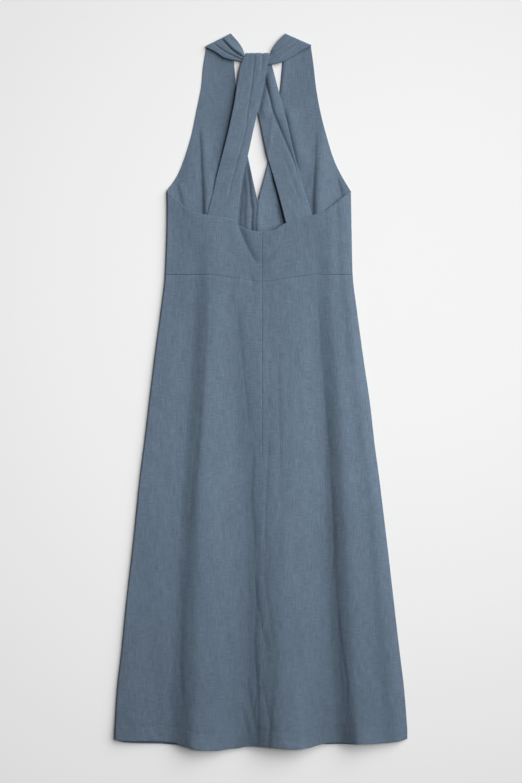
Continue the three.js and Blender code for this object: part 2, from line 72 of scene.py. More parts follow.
# Where a seam starts to open, over what length it does, and how open it is before that: the waist seam by
# its distance from the centre back, and the centre-back seam by its height.
WAIST_OPENS = (50.0, 90.0, 0.5)
CENTRE_OPENS = (470.0, 90.0, 0.1)
HALTER_TURN, LOOP_TURN = 2.0, 3.3  # the radii of the halter's turn and of the strap's loop
HALTER_TURN_STEPS, LOOP_TURN_STEPS = 12, 16
LEFT_EDGE_LIFT, LEFT_EDGE_CURL = 3.0, 20.0  # the left side seam stands a little off the floor
SIDE_CORNER, SIDE_POINTS = 0.8, 19  # how far in a side seam is rounded, and the points of its roll
HEM, HEM_DIP, HEM_DIP_WIDTH = 28.0, 0.3, 2.5  # the hem's turning, whose sewn edge pulls the cloth in
HEM_LIFT, HEM_LIFT_REACH = 0.5, 30.0  # how far the hem stands off the floor, and how far up that reaches
CORNER_LIFT, CORNER_X, CORNER_WIDTH = 2.9, -225.0, 45.0  # how much more its left corner does
FULL_FOLD, HEM_FLARE, FLARE_REACH = 14.0, 7.5, 45.0  # a fold this high stands this much higher at the hem
BACK_FREE, FRONT_FREE = 2.5, 1.5  # cloth lifted this far off what it lies on creases freely
FRONT_CRUMPLE, STRAP_CRUMPLE = 0.7, 0.5  # how uneven each is, where the back is 1
STITCH_SPACING, STITCH_LENGTH, THREAD_THICKNESS = 5.0, 2.2, 0.5
HEM_STARTS = 12  # the mesh column of the back skirt, past its rolled side, where the row of stitches starts
# The lengths of cloth that the meshes are spaced along, and the size of their faces there.
FRONT_STEP_ALONG, FRONT_STEP_ACROSS = 5.0, 4.0
BODICE_WIDTH, BODICE_STEP = 165.0, 2.2
BODICE_HEIGHT, HALTER_HEIGHT = 147.0, 270.0
BAND_LENGTH, BAND_STEP = 95.0, 1.6
BACK_BODICE_HEIGHT, BACK_BODICE_STEP = 145.0, 2.0
STRAP_WIDTH, STRAP_STEP = 46.0, 1.5
LEG_LENGTH, LEG_STEP = 305.0, 2.0
SEWN_COLUMNS = 6  # mesh columns of the front bodice that the centre-front seam holds
GRAIN_COLUMN = 15  # the mesh column of the strap that its weave is measured along
BAND_LOWEST = 3.0  # the gathered band lies on the strap's under leg
STRAP_BULGE, STRAP_SINK = 0.7, 0.5  # how far the strap's middle bulges, and how far its edges sink
SKIRT_SEED, BACK_BODICE_SEED, FRONT_SEED, UPPER_LEG_SEED, UNDER_LEG_SEED = 10, 20, 40, 60, 70
NOISE_CELLS = 64
CREASE_END = 0.2  # a crease fades away over this share of its length at each end
STATIONS = {"top": 930.0, "waist": 828.0, "hip": 600.0, "knee": 300.0, "hem": 0.0}
PLAN_COLUMNS = "section outer_x outer_y inner_x inner_y"
LEG_COLUMNS = "section left_x left_y right_x right_y"
CREASE_COLUMNS = "crease line depth_start depth_end half_width lip_start lip_end lip_width"


def table(columns, *rows):
    """Columns by name from the rows of a section table."""
    return {
        name: list(values) if name == "line" else np.array(values)
        for name, values in zip(columns.split(), zip(*rows))
    }


SIDES = table(
    "y left right",
    (974.8, -164.5, 156.6),
    (903, -163.9, 158.2),
    (828, -167.1, 160.5),
    (763, -174.6, 168.2),
    (679, -185.6, 179.5),
    (595, -195.6, 191.5),
    (532, -202.9, 198.5),
    (469, -210.9, 206.8),
    (406, -217.3, 214.4),
    (343, -223.7, 221.8),
    (280, -230.9, 229),
    (217, -237.7, 236),
    (154, -243.7, 243.2),
    (91, -250.6, 250.4),
    (17.5, -254.8, 256),
)
BACK_HEM = table(
    "x y",
    (-255.5, 17.4), (-240, 13.8), (-212, 13.6), (-178, 12.8), (-148, 10), (-137, 6.8), (-122, 5.2),
    (-110, 0.8), (-96, -0.6), (-75, -1.8), (-54, 0.2), (-40, 0.9), (-26, 3.8), (-8, 4.8), (10, 5.2),
    (34, 4), (61, 1.8), (79, 2.4), (96, 6.2), (115, 10), (168, 10.8), (204, 10.6), (240, 13), (256, 16.8),
)
FRONT_HEM = table(
    "x y",
    (-255.5, 16.8), (-236, 10.5), (-178, 8.4), (-148, 6.3), (-90, 7), (0, 9), (90, 8),
    (115, 7), (141, 7.5), (168, 6.3), (204, 9.5), (236, 11), (256, 16.8),
)
BACK_EDGE = table(
    "x y",
    (-165.4, 974.8), (-148, 959.7), (-123, 939), (-94.5, 932), (-52, 925), (-40, 914),
    (-21, 906), (2.8, 902), (19.5, 904.5), (44, 918), (87.5, 931), (105, 935.5), (121, 946),
    (140, 961), (156.6, 974.8),
)
# x and lift of each fold of the back at the five stations, from the neckline to the hem.
FOLDS = table(
    "fold x_top x_waist x_hip x_knee x_hem lift_top lift_waist lift_hip lift_knee lift_hem",
    ("left side", -160.5, -164, -192, -225.5, -251, 3.2, 3.2, 3.2, 3.2, 3.2),
    ("left valley", -118, -117, -129, -149, -163, 6.4, 4, 2.4, 2.4, 2.2),
    ("left ridge", -82, -86, -98, -108, -113, 7.6, 8.4, 10, 12, 12),
    ("centre valley", -46, -50, -40, -27, -33, 6.6, 6.6, 4.6, 3.6, 2.6),
    ("centre ridge", 3, 5, 5, 4, 8, 8.6, 7.4, 8.8, 9.4, 9.5),
    ("inner right ridge", 50, 48, 51, 33, 39, 10, 7.8, 9.6, 12.6, 15),
    ("right valley", 92, 97, 108, 114, 130, 9, 5, 2.6, 2, 2.6),
    ("right ridge", 116, 120, 138, 155, 172, 7.6, 7, 9.8, 12.4, 12),
    ("right side", 134, 142, 168, 200, 228, 5, 5, 6.6, 6.8, 6),
)
# Soft humps where the front bodice stands off the floor.
HUMPS = table(
    "hump x y half_width half_length height",
    ("left armhole", -122, 1005, 26, 80, 1.2),
    ("left bust", -70, 1000, 30, 96, 2.4),
    ("right bust", 62, 1000, 32, 92, 3.4),
    ("right armhole", 103, 990, 40, 118, 4.4),
)
LEFT_HALTER = table(
    PLAN_COLUMNS,
    ("underarm", -164.5, 974.8, -5.3, 954.2),
    ("armpit", -147.5, 1000, -13, 988),
    ("bust", -134.8, 1029, -20, 1021),
    ("upper bust", -122, 1071, -29, 1067),
    ("chest", -113.4, 1113, -38, 1114),
    ("collar bone", -105, 1155, -44, 1160),
    ("neck", -101, 1195, -47.6, 1207),
    ("turn", -97.1, 1227.6, -52.5, 1250),
)
RIGHT_HALTER = table(
    PLAN_COLUMNS,
    ("underarm", 156.6, 974.8, -5.3, 954.2),
    ("armpit", 141, 1001, 3.6, 988),
    ("bust", 127.5, 1029, 11.5, 1021),
    ("upper bust", 114.5, 1071, 19, 1067),
    ("chest", 104, 1113, 26.7, 1114),
    ("collar bone", 96.5, 1155, 34, 1160),
    ("neck", 91.6, 1197, 37.8, 1207),
    ("turn", 88.4, 1229.4, 42, 1250),
)
# puff is how far the gathered band bulges between its two edges.
LEFT_BAND = table(
    f"{PLAN_COLUMNS} z puff",
    ("turn", -97.1, 1227.6, -52.5, 1250, 4.6, 0),
    ("shoulder", -80, 1217.5, -43.8, 1239, 5.2, 0.6),
    ("gathers begin", -65.3, 1207.5, -37.5, 1231, 5.4, 1.2),
    ("gathers", -50, 1203, -32.5, 1222.5, 4.8, 2),
    ("under the loop", -35, 1200.5, -27.5, 1211.3, 3.4, 2.4),
    ("in the loop", -20, 1195.6, -18, 1209.8, 3.2, 2),
    ("nape", -7.9, 1194.3, -7.9, 1209.5, 3.2, 2),
)
RIGHT_BAND = table(
    f"{PLAN_COLUMNS} z puff",
    ("turn", 88.4, 1229.4, 42, 1250, 4.6, 0),
    ("shoulder", 69.7, 1219.5, 33.5, 1241, 4.6, 0.6),
    ("gathers begin", 54.3, 1209, 26.5, 1232.5, 4.4, 1.2),
    ("gathers", 39, 1200.5, 20.2, 1223, 4, 2),
    ("under the loop", 23, 1196, 14.6, 1211.5, 3.3, 2.4),
    ("in the loop", 8, 1194.4, 5, 1209.8, 3.2, 2),
    ("nape", -7.6, 1194.3, -7.6, 1209.5, 3.2, 2),
)
# rise is how much higher the strap's left edge lies than its right edge.
UPPER_LEG = table(
    f"{LEG_COLUMNS} z rise",
    ("sewn end", -97, 919, -45, 903, 6.8, 2.4),
    ("bodice edge", -93.6, 932.5, -42.5, 921, 6.4, 2.4),
    ("low", -84, 971, -36.2, 970, 5.2, 1.4),
    ("lower middle", -75.3, 1009, -29, 1009, 5.6, 2.2),
    ("middle", -65.3, 1045.6, -20.8, 1045.6, 7.6, 3.8),
    ("upper middle", -56.7, 1080, -13.4, 1080, 8.4, 4.2),
    ("high", -46.5, 1129, -2.2, 1129, 8.2, 3.4),
    ("crossing", -41.5, 1162, 5.2, 1162, 7.6, 1.6),
    ("over the neckband", -35.5, 1193.5, 11, 1193.5, 7.6, 0),
    ("nape", -27.5, 1215.4, 14.5, 1215.4, 7.6, 0),
)
UNDER_LEG = table(
    f"{LEG_COLUMNS} z rise",
    ("nape", -27.5, 1215.4, 14.5, 1215.4, 1, 0),
    ("under the neckband", -23.5, 1193.5, 19.3, 1193.5, 1, 0),
    ("crossing", -17, 1162, 27.3, 1162, 2.3, 0),
    ("high", -9.8, 1128.8, 36.2, 1128.8, 3.2, 0.8),
    ("upper middle", -2.4, 1097.3, 44.8, 1097.3, 4, 1.4),
    ("middle", 10.8, 1036, 58.3, 1036, 5, 0.8),
    ("low", 28.2, 976.5, 74.4, 977, 6.6, 3),
    ("bodice edge", 43.6, 917.7, 89.3, 932, 7.2, 6.2),
    ("sewn end", 47.5, 904, 92.5, 918, 7.2, 6.2),
)
# Creases pressed into each layer: the line that each follows, the depth of its groove at both ends, and
# the groove's half width. A lip is a raised edge on the left of the line as it runs: it climbs steeply
# from the line to its crest and falls away gently beyond.
BACK_CREASES = table(
    CREASE_COLUMNS,
    ("drag from the left strap", ((-44, 928), (-37, 908), (-30, 891), (-22, 873), (-13, 857), (-2, 839)),
     1.3, 0.8, 11, 2.3, 1.2, 13),
    ("drag from the right strap", ((44, 915), (36, 890), (22, 865), (8, 850)), 0.8, 0.3, 5, 0, 0, 1),
    ("left of the centre seam", ((-16, 830), (-15, 800), (-12, 770)), 0.7, 0.1, 6, 0, 0, 1),
    ("centre valley, high", ((-42, 800), (-38, 740), (-30, 650), (-24, 600), (-20, 540)),
     0.1, 0.3, 6, 0.5, 0.5, 9),
    ("centre valley, middle", ((-12, 540), (-15, 486), (-17, 430), (-12, 380), (-8, 320)),
     0.3, 0.3, 6, 0.7, 0.6, 7),
    ("centre valley, low", ((-10, 345), (-8, 259), (-11, 189), (-5, 84), (-5, -20)),
     0.3, 0.5, 6, 0.5, 0.7, 7),
    ("crinkle by the seam", ((15, 555), (10, 470), (7, 400), (8, 330)), 0.2, 0.4, 6, 0.7, 0.5, 7),
    ("crinkle below the seam", ((6, 350), (8, 290), (15, 230), (24, 165)), 0.2, 0.3, 6, 0.5, 0.3, 7),
    ("crinkle by the hem", ((24, 150), (19, 100), (17, 60), (13, -10)), 0.2, 0.6, 7, 0.2, 0.4, 7),
    ("right of the centre seam", ((27, 700), (31, 600), (34, 500), (32, 420)), 0.5, 0.4, 9, 0.3, 0.2, 10),
    ("crinkle at the knee", ((-11, 306), (-8, 268), (-1, 226)), 0.4, 0.3, 6, 0.4, 0.3, 6),
    ("second crinkle at the knee", ((-4, 252), (2, 212), (12, 166)), 0.3, 0.4, 6, 0.3, 0.4, 5),
    ("crinkle over the hem", ((-24, 128), (-19, 86), (-12, 40)), 0.4, 0.4, 6, 0.3, 0.3, 6),
    ("slanting crinkle", ((-2, 133), (5, 100), (14, 60), (20, 24)), 0.3, 0.4, 6, 0.3, 0.4, 6),
    ("crinkle left of the hem's middle", ((-38, 88), (-30, 55), (-20, 18)), 0.5, 0.6, 6, 0.3, 0.4, 6),
    ("crinkle by the centre hem", ((-14, 180), (-6, 120), (-12, 70), (-8, 10)), 0.4, 0.6, 5, 0.2, 0.3, 5),
    ("right valley, high", ((98, 820), (104, 690), (117, 560), (121, 480)), 0.1, 0.3, 7, 0.4, 0.5, 8),
    ("right valley, low", ((124, 500), (129, 380), (130, 300), (136, 190), (143, 40)),
     0.2, 0.4, 6, 0.5, 0.4, 7),
    ("left valley", ((-97, 822), (-97, 730), (-104, 620), (-112, 500), (-121, 380)),
     0.1, 0.2, 6, 0.6, 0.4, 9),
    ("crinkle in the left valley", ((-112, 560), (-119, 470), (-125, 380)), 0.4, 0.4, 6, 0.3, 0.3, 7),
    ("low crinkle in the left valley", ((-136, 250), (-141, 160), (-137, 70)), 0.3, 0.4, 7, 0.3, 0.3, 7),
    ("crinkle in the right valley", ((119, 500), (124, 430), (127, 350), (122, 285)),
     0.5, 0.5, 5, 0.5, 0.3, 6),
    ("low crinkle in the right valley", ((132, 262), (138, 200), (149, 120), (151, 50)),
     0.4, 0.6, 5, 0.4, 0.4, 6),
    ("crease at the hem", ((82, 5), (60, 13), (38, 18)), 0.9, 0.7, 5, 1.0, 0.7, 5),
    ("corner at the left underarm", ((-146, 960), (-138, 936), (-134, 922)), 0.8, 0.1, 6, 0, 0, 1),
)
FRONT_CREASES = table(
    CREASE_COLUMNS,
    ("left side of the bust", ((-109, 1100), (-105.5, 1050), (-103.5, 1000), (-101.5, 960), (-100, 890)),
     0, 0.5, 6, 1.2, 6.8, 7.5),
    ("right side of the bust", ((97, 1100), (94, 1010), (91.5, 970), (90.5, 890)),
     0, 0.6, 8, 0.6, 5.8, 9),
    ("beside the left strap", ((-27, 1045), (-31, 1005), (-34, 970), (-37, 940), (-39, 890)),
     0, 0, 1, 4.6, 5.2, 21),
    ("small crease beside the left strap", ((-30, 1005), (-27, 965), (-29, 928), (-27, 885)),
     0.5, 0.9, 4, 0.4, 0.8, 5),
    ("outer crease by the neckline",
     ((-25, 1030), (-20, 985), (-17.5, 955), (-15, 940), (-16.5, 920), (-16, 880)),
     0.8, 1.6, 4, 1.2, 3.8, 10),
    ("inner crease by the neckline", ((-12, 985), (-9, 962), (-6.5, 945), (-9, 925), (-8, 880)),
     0.2, 0.6, 3.5, 0.8, 1.8, 4),
    ("left corner at the underarm", ((-148, 992), (-144, 976), (-138, 952), (-134, 930)),
     0.4, 0.4, 4, 1.8, 1.2, 5),
    ("under the right strap's edge", ((16, 1010), (25, 980), (37, 945), (47, 912), (50, 880)),
     3, 5.5, 6, 0, 0, 1),
    ("pit at the bodice's edge", ((27, 956), (32, 935), (37, 916), (38, 880)), 1.5, 6, 8.5, 0, 0, 1),
    ("under the left strap's edge", ((-57, 1078), (-65, 1046), (-75, 1009), (-84, 971)),
     1.2, 1.6, 7, 0, 0, 1),
    ("along the right strap", ((38.5, 1125), (43, 1105), (48, 1080), (58, 1043), (68, 1000)),
     0, 0, 1, 4.4, 1.8, 8),
    ("right inner edge", ((40, 1225), (37, 1190), (33.5, 1155), (31, 1135)), 0, 0, 1, 2.4, 2, 5),
    ("right corner at the underarm", ((132, 1002), (136, 988), (143, 965), (148, 945)),
     0.4, 0.4, 4, 1.8, 1.4, 5),
)
LEFT_BAND_CREASES = table(
    CREASE_COLUMNS,
    ("main pleat", ((-76, 1250), (-64, 1235), (-52, 1222), (-40, 1213), (-26, 1205)),
     1.0, 1.6, 4, 1.6, 3.4, 3.5),
    ("corner pleat", ((-90, 1240), (-76, 1226), (-58, 1214), (-38, 1205), (-10, 1199)),
     0.5, 1.4, 4, 0.5, 0.8, 4),
)
RIGHT_BAND_CREASES = table(
    CREASE_COLUMNS,
    ("upper pleat", ((58, 1245), (38, 1229), (26, 1220), (14, 1212), (-7, 1205)),
     0.9, 2.0, 4, 0.2, 0.3, 4),
    ("lower pleat", ((64, 1232), (40, 1219), (26, 1210), (14, 1203), (-7, 1199)),
     0.9, 2.0, 4, 0.2, 0.3, 4),
)
UPPER_LEG_CREASES = table(
    CREASE_COLUMNS,
    ("main crease", ((-10, 1250), (-12, 1196), (-15, 1169), (-23.5, 1113), (-27, 1078), (-37, 1043),
                     (-45.5, 1011), (-53, 984), (-62, 935)),
     0.9, 0.7, 3.5, 0.4, 0.3, 5),
    ("gather over the band", ((4, 1250), (2, 1200), (-1, 1165)), 2.6, 0.1, 3.5, 0, 0, 1),
    ("small crease at the loop", ((-20, 1250), (-22, 1195), (-25, 1165)), 0.8, 0, 3, 0, 0, 1),
)
UNDER_LEG_CREASES = table(
    CREASE_COLUMNS,
    ("main crease", ((2, 1200), (8.5, 1166), (21, 1113), (30.5, 1090), (45, 1055), (60, 1020), (71, 980)),
     1.5, 0.5, 3.5, 4.6, 0.6, 10),
    ("beside the upper leg", ((20, 1215), (15, 1188), (8, 1162), (1, 1130), (-6, 1095)),
     0, 0, 1, 0.8, 3.6, 8),
    ("facet", ((24, 1125), (21.5, 1108), (18.7, 1085), (12.8, 1043), (6, 1015)), -1.0, -0.8, 8, 0, 0, 1),
    ("low crease", ((40, 1035), (50, 1005), (62, 975), (74, 940)), 0.3, 0.3, 5, 0.3, 0.2, 6),
)
# The unevenness of washed linen, in waves: how long each is across and along the cloth, how far it slants
# and how high it stands. A folded wave has a sharp crest, as a crease has.
CRUMPLES = table(
    "wave across along slant folded height",
    ("long wave", 42, 170, 0, 0, 0.5),
    ("short wave", 17, 90, 0, 0, 0.26),
    ("slanting crease", 22, 52, 0.2, 1, -0.26),
    ("fine crease", 9, 44, 0, 1, -0.2),
    ("streak", 5, 30, 0, 0, 0.07),
)


def bend(start, end, start_slope, end_slope, t):
    """A smooth curve that goes from start to end as t goes from 0 to 1, with a slope given at both."""
    return (
        start * (1 + 2 * t) * (1 - t) ** 2
        + start_slope * t * (1 - t) ** 2
        + end * t * t * (3 - 2 * t)
        + end_slope * t * t * (t - 1)
    )


def inner_slopes(steep):
    """The slope at each knot between two stretches from how steep both are: level where the curve turns."""
    before, after = steep[..., :-1], steep[..., 1:]
    rising = before * after > 0
    return np.where(rising, 2 * before * after / np.where(rising, before + after, 1), 0)


def read(tab, key, at, column):
    """One column of a table where another reads `at`, as a smooth curve that never overshoots its rows."""
    order = np.argsort(tab[key])
    xs = tab[key][order].astype(float)
    ys = tab[column][order].astype(float)
    steep = np.diff(ys) / np.diff(xs)
    slopes = np.concatenate([steep[:1], inner_slopes(steep), steep[-1:]])
    at = np.clip(at, xs[0], xs[-1])
    i = np.clip(np.searchsorted(xs, at, side="right") - 1, 0, len(xs) - 2)
    span = xs[i + 1] - xs[i]
    return bend(ys[i], ys[i + 1], slopes[i] * span, slopes[i + 1] * span, (at - xs[i]) / span)


def edge(tab, x_column, y_column, shares):
    """Points of the smooth curve through two columns of a table, which reaches row i at i / (rows - 1)."""
    points = np.stack([tab[x_column].astype(float), tab[y_column].astype(float)], axis=1)
    points = np.vstack([2 * points[0] - points[1], points, 2 * points[-1] - points[-2]])
    place = np.asarray(shares) * (len(points) - 3)
    i = np.minimum(place.astype(int), len(points) - 4)
    t = (place - i)[:, None]
    a, b, c, d = (points[i + k] for k in range(4))
    gap_ab, gap_bc, gap_cd = (
        np.sqrt(np.linalg.norm(q - p, axis=1))[:, None] for p, q in ((a, b), (b, c), (c, d))
    )
    start = ((b - a) / gap_ab - (c - a) / (gap_ab + gap_bc) + (c - b) / gap_bc) * gap_bc
    finish = ((c - b) / gap_bc - (d - b) / (gap_bc + gap_cd) + (d - c) / gap_cd) * gap_bc
    return bend(b, c, start, finish, t)


def along_rows(tab, column, shares):
    """A table's column at shares of the way through its rows."""
    values = tab[column].astype(float)
    place = np.asarray(shares) * (len(values) - 1)
    i = np.minimum(place.astype(int), len(values) - 2)
    t = place - i
    return values[i] + (values[i + 1] - values[i]) * t * t * (3 - 2 * t)


def spread(length, step, fine=0.3, at_start=True, at_end=True):
    """Shares from 0 to 1 along a length, a step apart and closer together near its cut edges."""
    growth = 1.6
    small = [fine]
    while small[-1] * growth < step:
        small.append(small[-1] * growth)
    lead = small if at_start else []
    tail = small[::-1] if at_end else []
    middle = max(round((length - sum(lead) - sum(tail)) / step), 1)
    steps = [*lead, *[step] * middle, *tail]
    return np.concatenate([[0], np.cumsum(steps)]) / sum(steps)


def noise(x, y, seed):
    """Smooth noise between about -1 and 1, whose waves are about one unit long."""
    angles = np.random.default_rng(seed).uniform(0, 2 * math.pi, (NOISE_CELLS, NOISE_CELLS))
    ix, iy = np.floor(x).astype(int), np.floor(y).astype(int)
    fx, fy = x - ix, y - iy
    ease_x, ease_y = (f * f * f * (f * (6 * f - 15) + 10) for f in (fx, fy))
    total = 0
    for dx in (0, 1):
        for dy in (0, 1):
            angle = angles[(ix + dx) % NOISE_CELLS, (iy + dy) % NOISE_CELLS]
            slope = np.cos(angle) * (fx - dx) + np.sin(angle) * (fy - dy)
            total = total + slope * (ease_x if dx else 1 - ease_x) * (ease_y if dy else 1 - ease_y)
    return 1.5 * total


def ease(t):
    """0 below 0, 1 above 1, and smooth between them."""
    t = np.clip(t, 0, 1)
    return t * t * (3 - 2 * t)


def line_distance(x, y, line):
    """How far points lie from a line of corners, how squarely to its left, and what share along it."""
    corners = np.array(line, float)
    lengths = np.linalg.norm(np.diff(corners, axis=0), axis=1)
    starts = np.concatenate([[0], np.cumsum(lengths)])
    nearest = np.full(np.shape(x), np.inf)
    side = np.zeros(np.shape(x))
    share = np.zeros(np.shape(x))
    for i, length in enumerate(lengths):
        (ax, ay), (bx, by) = corners[i], corners[i + 1]
        ux, uy = (bx - ax) / length, (by - ay) / length
        along = np.clip((x - ax) * ux + (y - ay) * uy, 0, length)
        off = np.hypot(x - ax - along * ux, y - ay - along * uy)
        closer = off < nearest
        nearest = np.where(closer, off, nearest)
        side = np.where(closer, ((y - ay) * ux - (x - ax) * uy) / np.maximum(off, 1e-6), side)
        share = np.where(closer, (starts[i] + along) / starts[-1], share)
    return nearest, side, share


def pressed(x, y, creases):
    """The height that the grooves of creases take away from a layer, and the height that their lips add."""
    groove = np.zeros(np.shape(x))
    lip = np.zeros(np.shape(x))
    for i, line in enumerate(creases["line"]):
        off, side, share = line_distance(x, y, line)
        fade = ease(np.minimum(share, 1 - share) / CREASE_END)
        depth, rise = (
            creases[f"{kind}_start"][i] + (creases[f"{kind}_end"][i] - creases[f"{kind}_start"][i]) * share
            for kind in ("depth", "lip")
        )
        inside = np.clip(1 - off / creases["half_width"][i], 0, 1)
        groove += depth * fade * inside ** 2 * (3 - 2 * inside) ** 0.5
        out = off / creases["lip_width"][i]
        lip += rise * fade * np.clip(side, 0, 1) * out * np.exp(1 - out)
    return lip - groove, lip


def crumple(x, y, amount, seed):
    """The unevenness of washed linen, as its table gives it."""
    total = 0
    for i, folded in enumerate(CRUMPLES["folded"]):
        slanted = x + CRUMPLES["slant"][i] * y
        wave = noise(slanted / CRUMPLES["across"][i], y / CRUMPLES["along"][i], seed + i)
        total = total + CRUMPLES["height"][i] * (np.abs(wave) if folded else wave)
    return amount * total


def seam_dip(distance, depth):
    """The hollow beside a seam or a turned edge."""
    return depth * np.exp(-distance / DIP_WIDTH)


def opened(at, start, fade, least):
    """How far a seam lies open, from its least before it starts to open, to 1 where it lies fully open."""
    return least + (1 - least) * ease((at - start) / fade)


def square_to(points):
    """The direction square to a grid of points at each of them."""
    down = np.gradient(points, axis=0)
    across = np.gradient(points, axis=1)
    normals = np.cross(across, down)
    return normals / np.linalg.norm(normals, axis=2, keepdims=True)


def edge_distance(points):
    """How far each point of a grid is from the nearest edge of the grid, along the grid."""
    reach = []
    for axis in (0, 1):
        steps = np.linalg.norm(np.diff(points, axis=axis), axis=2)
        pad = np.zeros_like(steps.take([0], axis=axis))
        run = np.cumsum(np.concatenate([pad, steps], axis=axis), axis=axis)
        reach += [run, run.take([-1], axis=axis) - run]
    return np.minimum.reduce(reach)


def placed(name, data):
    """A new object in the scene."""
    thing = bpy.data.objects.new(name, data)
    bpy.context.scene.collection.objects.link(thing)
    return thing


def shell(name, points, wall, grain, material, normals=None, soft_edge=0.8, shut=0.0):
    """A closed thin piece from a grid of points in the middle of its wall, with rounded edges.

    grain holds where each point lies on the flat cloth, in millimetres, so that the weave follows it.
    shut is how far each point's edge is sewn shut: 0 leaves it rounded and 1 leaves it square.
    """
    rows, columns = points.shape[:2]
    normals = square_to(points) if normals is None else normals
    if normals[:, :, 2].sum() < 0:
        normals = -normals
    inset = np.clip(edge_distance(points) / (soft_edge * wall), shut, 1)
    half = (RIM + (1 - RIM) * np.sqrt(1 - (1 - inset) ** 2))[:, :, None] * wall / 2
    verts = np.concatenate([(points + side * normals * half).reshape(-1, 3) for side in (1, -1)])
    verts[:, 1] -= MIDDLE
    at = np.arange(rows * columns).reshape(rows, columns)
    below = at + rows * columns
    corners = (at[:-1, :-1], at[:-1, 1:], at[1:, 1:], at[1:, :-1])
    top = np.stack(corners, axis=-1).reshape(-1, 4)
    bottom = top[:, ::-1] + rows * columns
    rim = [
        np.stack([at[0, 1:], at[0, :-1], below[0, :-1], below[0, 1:]], axis=-1),
        np.stack([at[-1, :-1], at[-1, 1:], below[-1, 1:], below[-1, :-1]], axis=-1),
        np.stack([at[:-1, 0], at[1:, 0], below[1:, 0], below[:-1, 0]], axis=-1),
        np.stack([at[1:, -1], at[:-1, -1], below[:-1, -1], below[1:, -1]], axis=-1),
    ]
    faces = np.concatenate([top, bottom, *rim])
    a, b, c = (verts[faces[:, k]] for k in range(3))
    if np.einsum("ij,ij->", a, np.cross(b, c)) < 0:
        faces = faces[:, ::-1]
    mesh = bpy.data.meshes.new(name)
    mesh.from_pydata((verts * MM).tolist(), [], faces.tolist())
    mesh.polygons.foreach_set("use_smooth", np.ones(len(faces), bool))
    flat = np.concatenate([grain.reshape(-1, 2), grain.reshape(-1, 2)]) * MM
    uv = mesh.uv_layers.new(name="Grain")
    uv.data.foreach_set("uv", flat[faces.reshape(-1)].astype(np.float32).ravel())
    mesh.materials.append(material)
    mesh.update()
    return placed(name, mesh)


def stitch_tree(material):
    """Geometry Nodes that sew a row of short stitches along a line."""
    tree = bpy.data.node_groups.new("Stitch row", "GeometryNodeTree")
    tree.interface.new_socket("Geometry", in_out="INPUT", socket_type="NodeSocketGeometry")
    for name in ("Spacing", "Stitch length", "Thread thickness"):
        tree.interface.new_socket(name, in_out="INPUT", socket_type="NodeSocketFloat")
    tree.interface.new_socket("Geometry", in_out="OUTPUT", socket_type="NodeSocketGeometry")
    given = linked(tree, "NodeGroupInput").outputs
    line = linked(tree, "GeometryNodeMeshToCurve", {"Mesh": given["Geometry"]}).outputs["Curve"]
    spaced = linked(tree, "GeometryNodeResampleCurve", {"Curve": line, "Length": given["Spacing"]},
                    mode="LENGTH").outputs["Curve"]
    stitch = linked(tree, "GeometryNodeMeshUVSphere", {"Segments": 8, "Rings": 6, "Radius": 0.5})
    thickness = given["Thread thickness"]
    size = linked(tree, "ShaderNodeCombineXYZ",
                  {"X": given["Stitch length"], "Y": thickness, "Z": thickness})
    tangent = linked(tree, "GeometryNodeInputTangent").outputs["Tangent"]
    turned_along = linked(tree, "FunctionNodeAlignRotationToVector", {"Vector": tangent}, axis="X")
    stitches = linked(
        tree, "GeometryNodeInstanceOnPoints",
        {"Points": spaced, "Instance": stitch.outputs["Mesh"], "Rotation": turned_along.outputs["Rotation"],
         "Scale": size.outputs["Vector"]},
    ).outputs["Instances"]
    solid = linked(tree, "GeometryNodeRealizeInstances", {"Geometry": stitches}).outputs["Geometry"]
    coloured = linked(tree, "GeometryNodeSetMaterial", {"Geometry": solid, "Material": material})
    linked(tree, "NodeGroupOutput", {"Geometry": coloured.outputs["Geometry"]})
    return tree


def stitch_row(context, name, points, material):
    """A row of stitches along points in millimetres, as a plain mesh."""
    line = bpy.data.meshes.new(f"{name}_line")
    verts = np.array(points, float)
    verts[:, 1] -= MIDDLE
    line.from_pydata((verts * MM).tolist(), [(i, i + 1) for i in range(len(verts) - 1)], [])
    guide = placed(f"{name}_line", line)
    tree = bpy.data.node_groups.get("Stitch row") or stitch_tree(material)
    modifier = guide.modifiers.new("Stitches", "NODES")
    modifier.node_group = tree
    sizes = {
        "Spacing": STITCH_SPACING,
        "Stitch length": STITCH_LENGTH,
        "Thread thickness": THREAD_THICKNESS,
    }
    for item in tree.interface.items_tree:
        if item.name in sizes:
            modifier[item.identifier] = sizes[item.name] * MM
    context.view_layer.update()
    graph = context.evaluated_depsgraph_get()
    mesh = bpy.data.meshes.new_from_object(guide.evaluated_get(graph), depsgraph=graph)
    mesh.name = name
    bpy.data.objects.remove(guide)
    return placed(name, mesh)


def across_grid(points, wanted_y):
    """Points on top of a grid where each of its columns crosses a height."""
    crossing = []
    for j in range(points.shape[1]):
        column = points[:, j]
        y = wanted_y(column[-1, 0])
        order = np.argsort(column[:, 1])
        x, z = (np.interp(y, column[order, 1], column[order, k]) for k in (0, 2))
        crossing.append((x, y, z + WALL / 2))
    return crossing


def declare(piece, node):
    """Attaches one piece of cloth to the root and hides the part from model.glb that it stands for."""
    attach(piece, "root")
    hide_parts(node)


def fold_at(y):
    """x and lift of every fold of the back, a column for each height in y."""
    stations = {"y": np.array(list(STATIONS.values()))}
    found = {}
    for kind in ("x", "lift"):
        found[kind] = []
        for i in range(len(FOLDS["fold"])):
            values = np.array([FOLDS[f"{kind}_{name}"][i] for name in STATIONS], float)
            found[kind].append(read({**stations, "value": values}, "y", y, "value"))
    return found["x"], found["lift"]


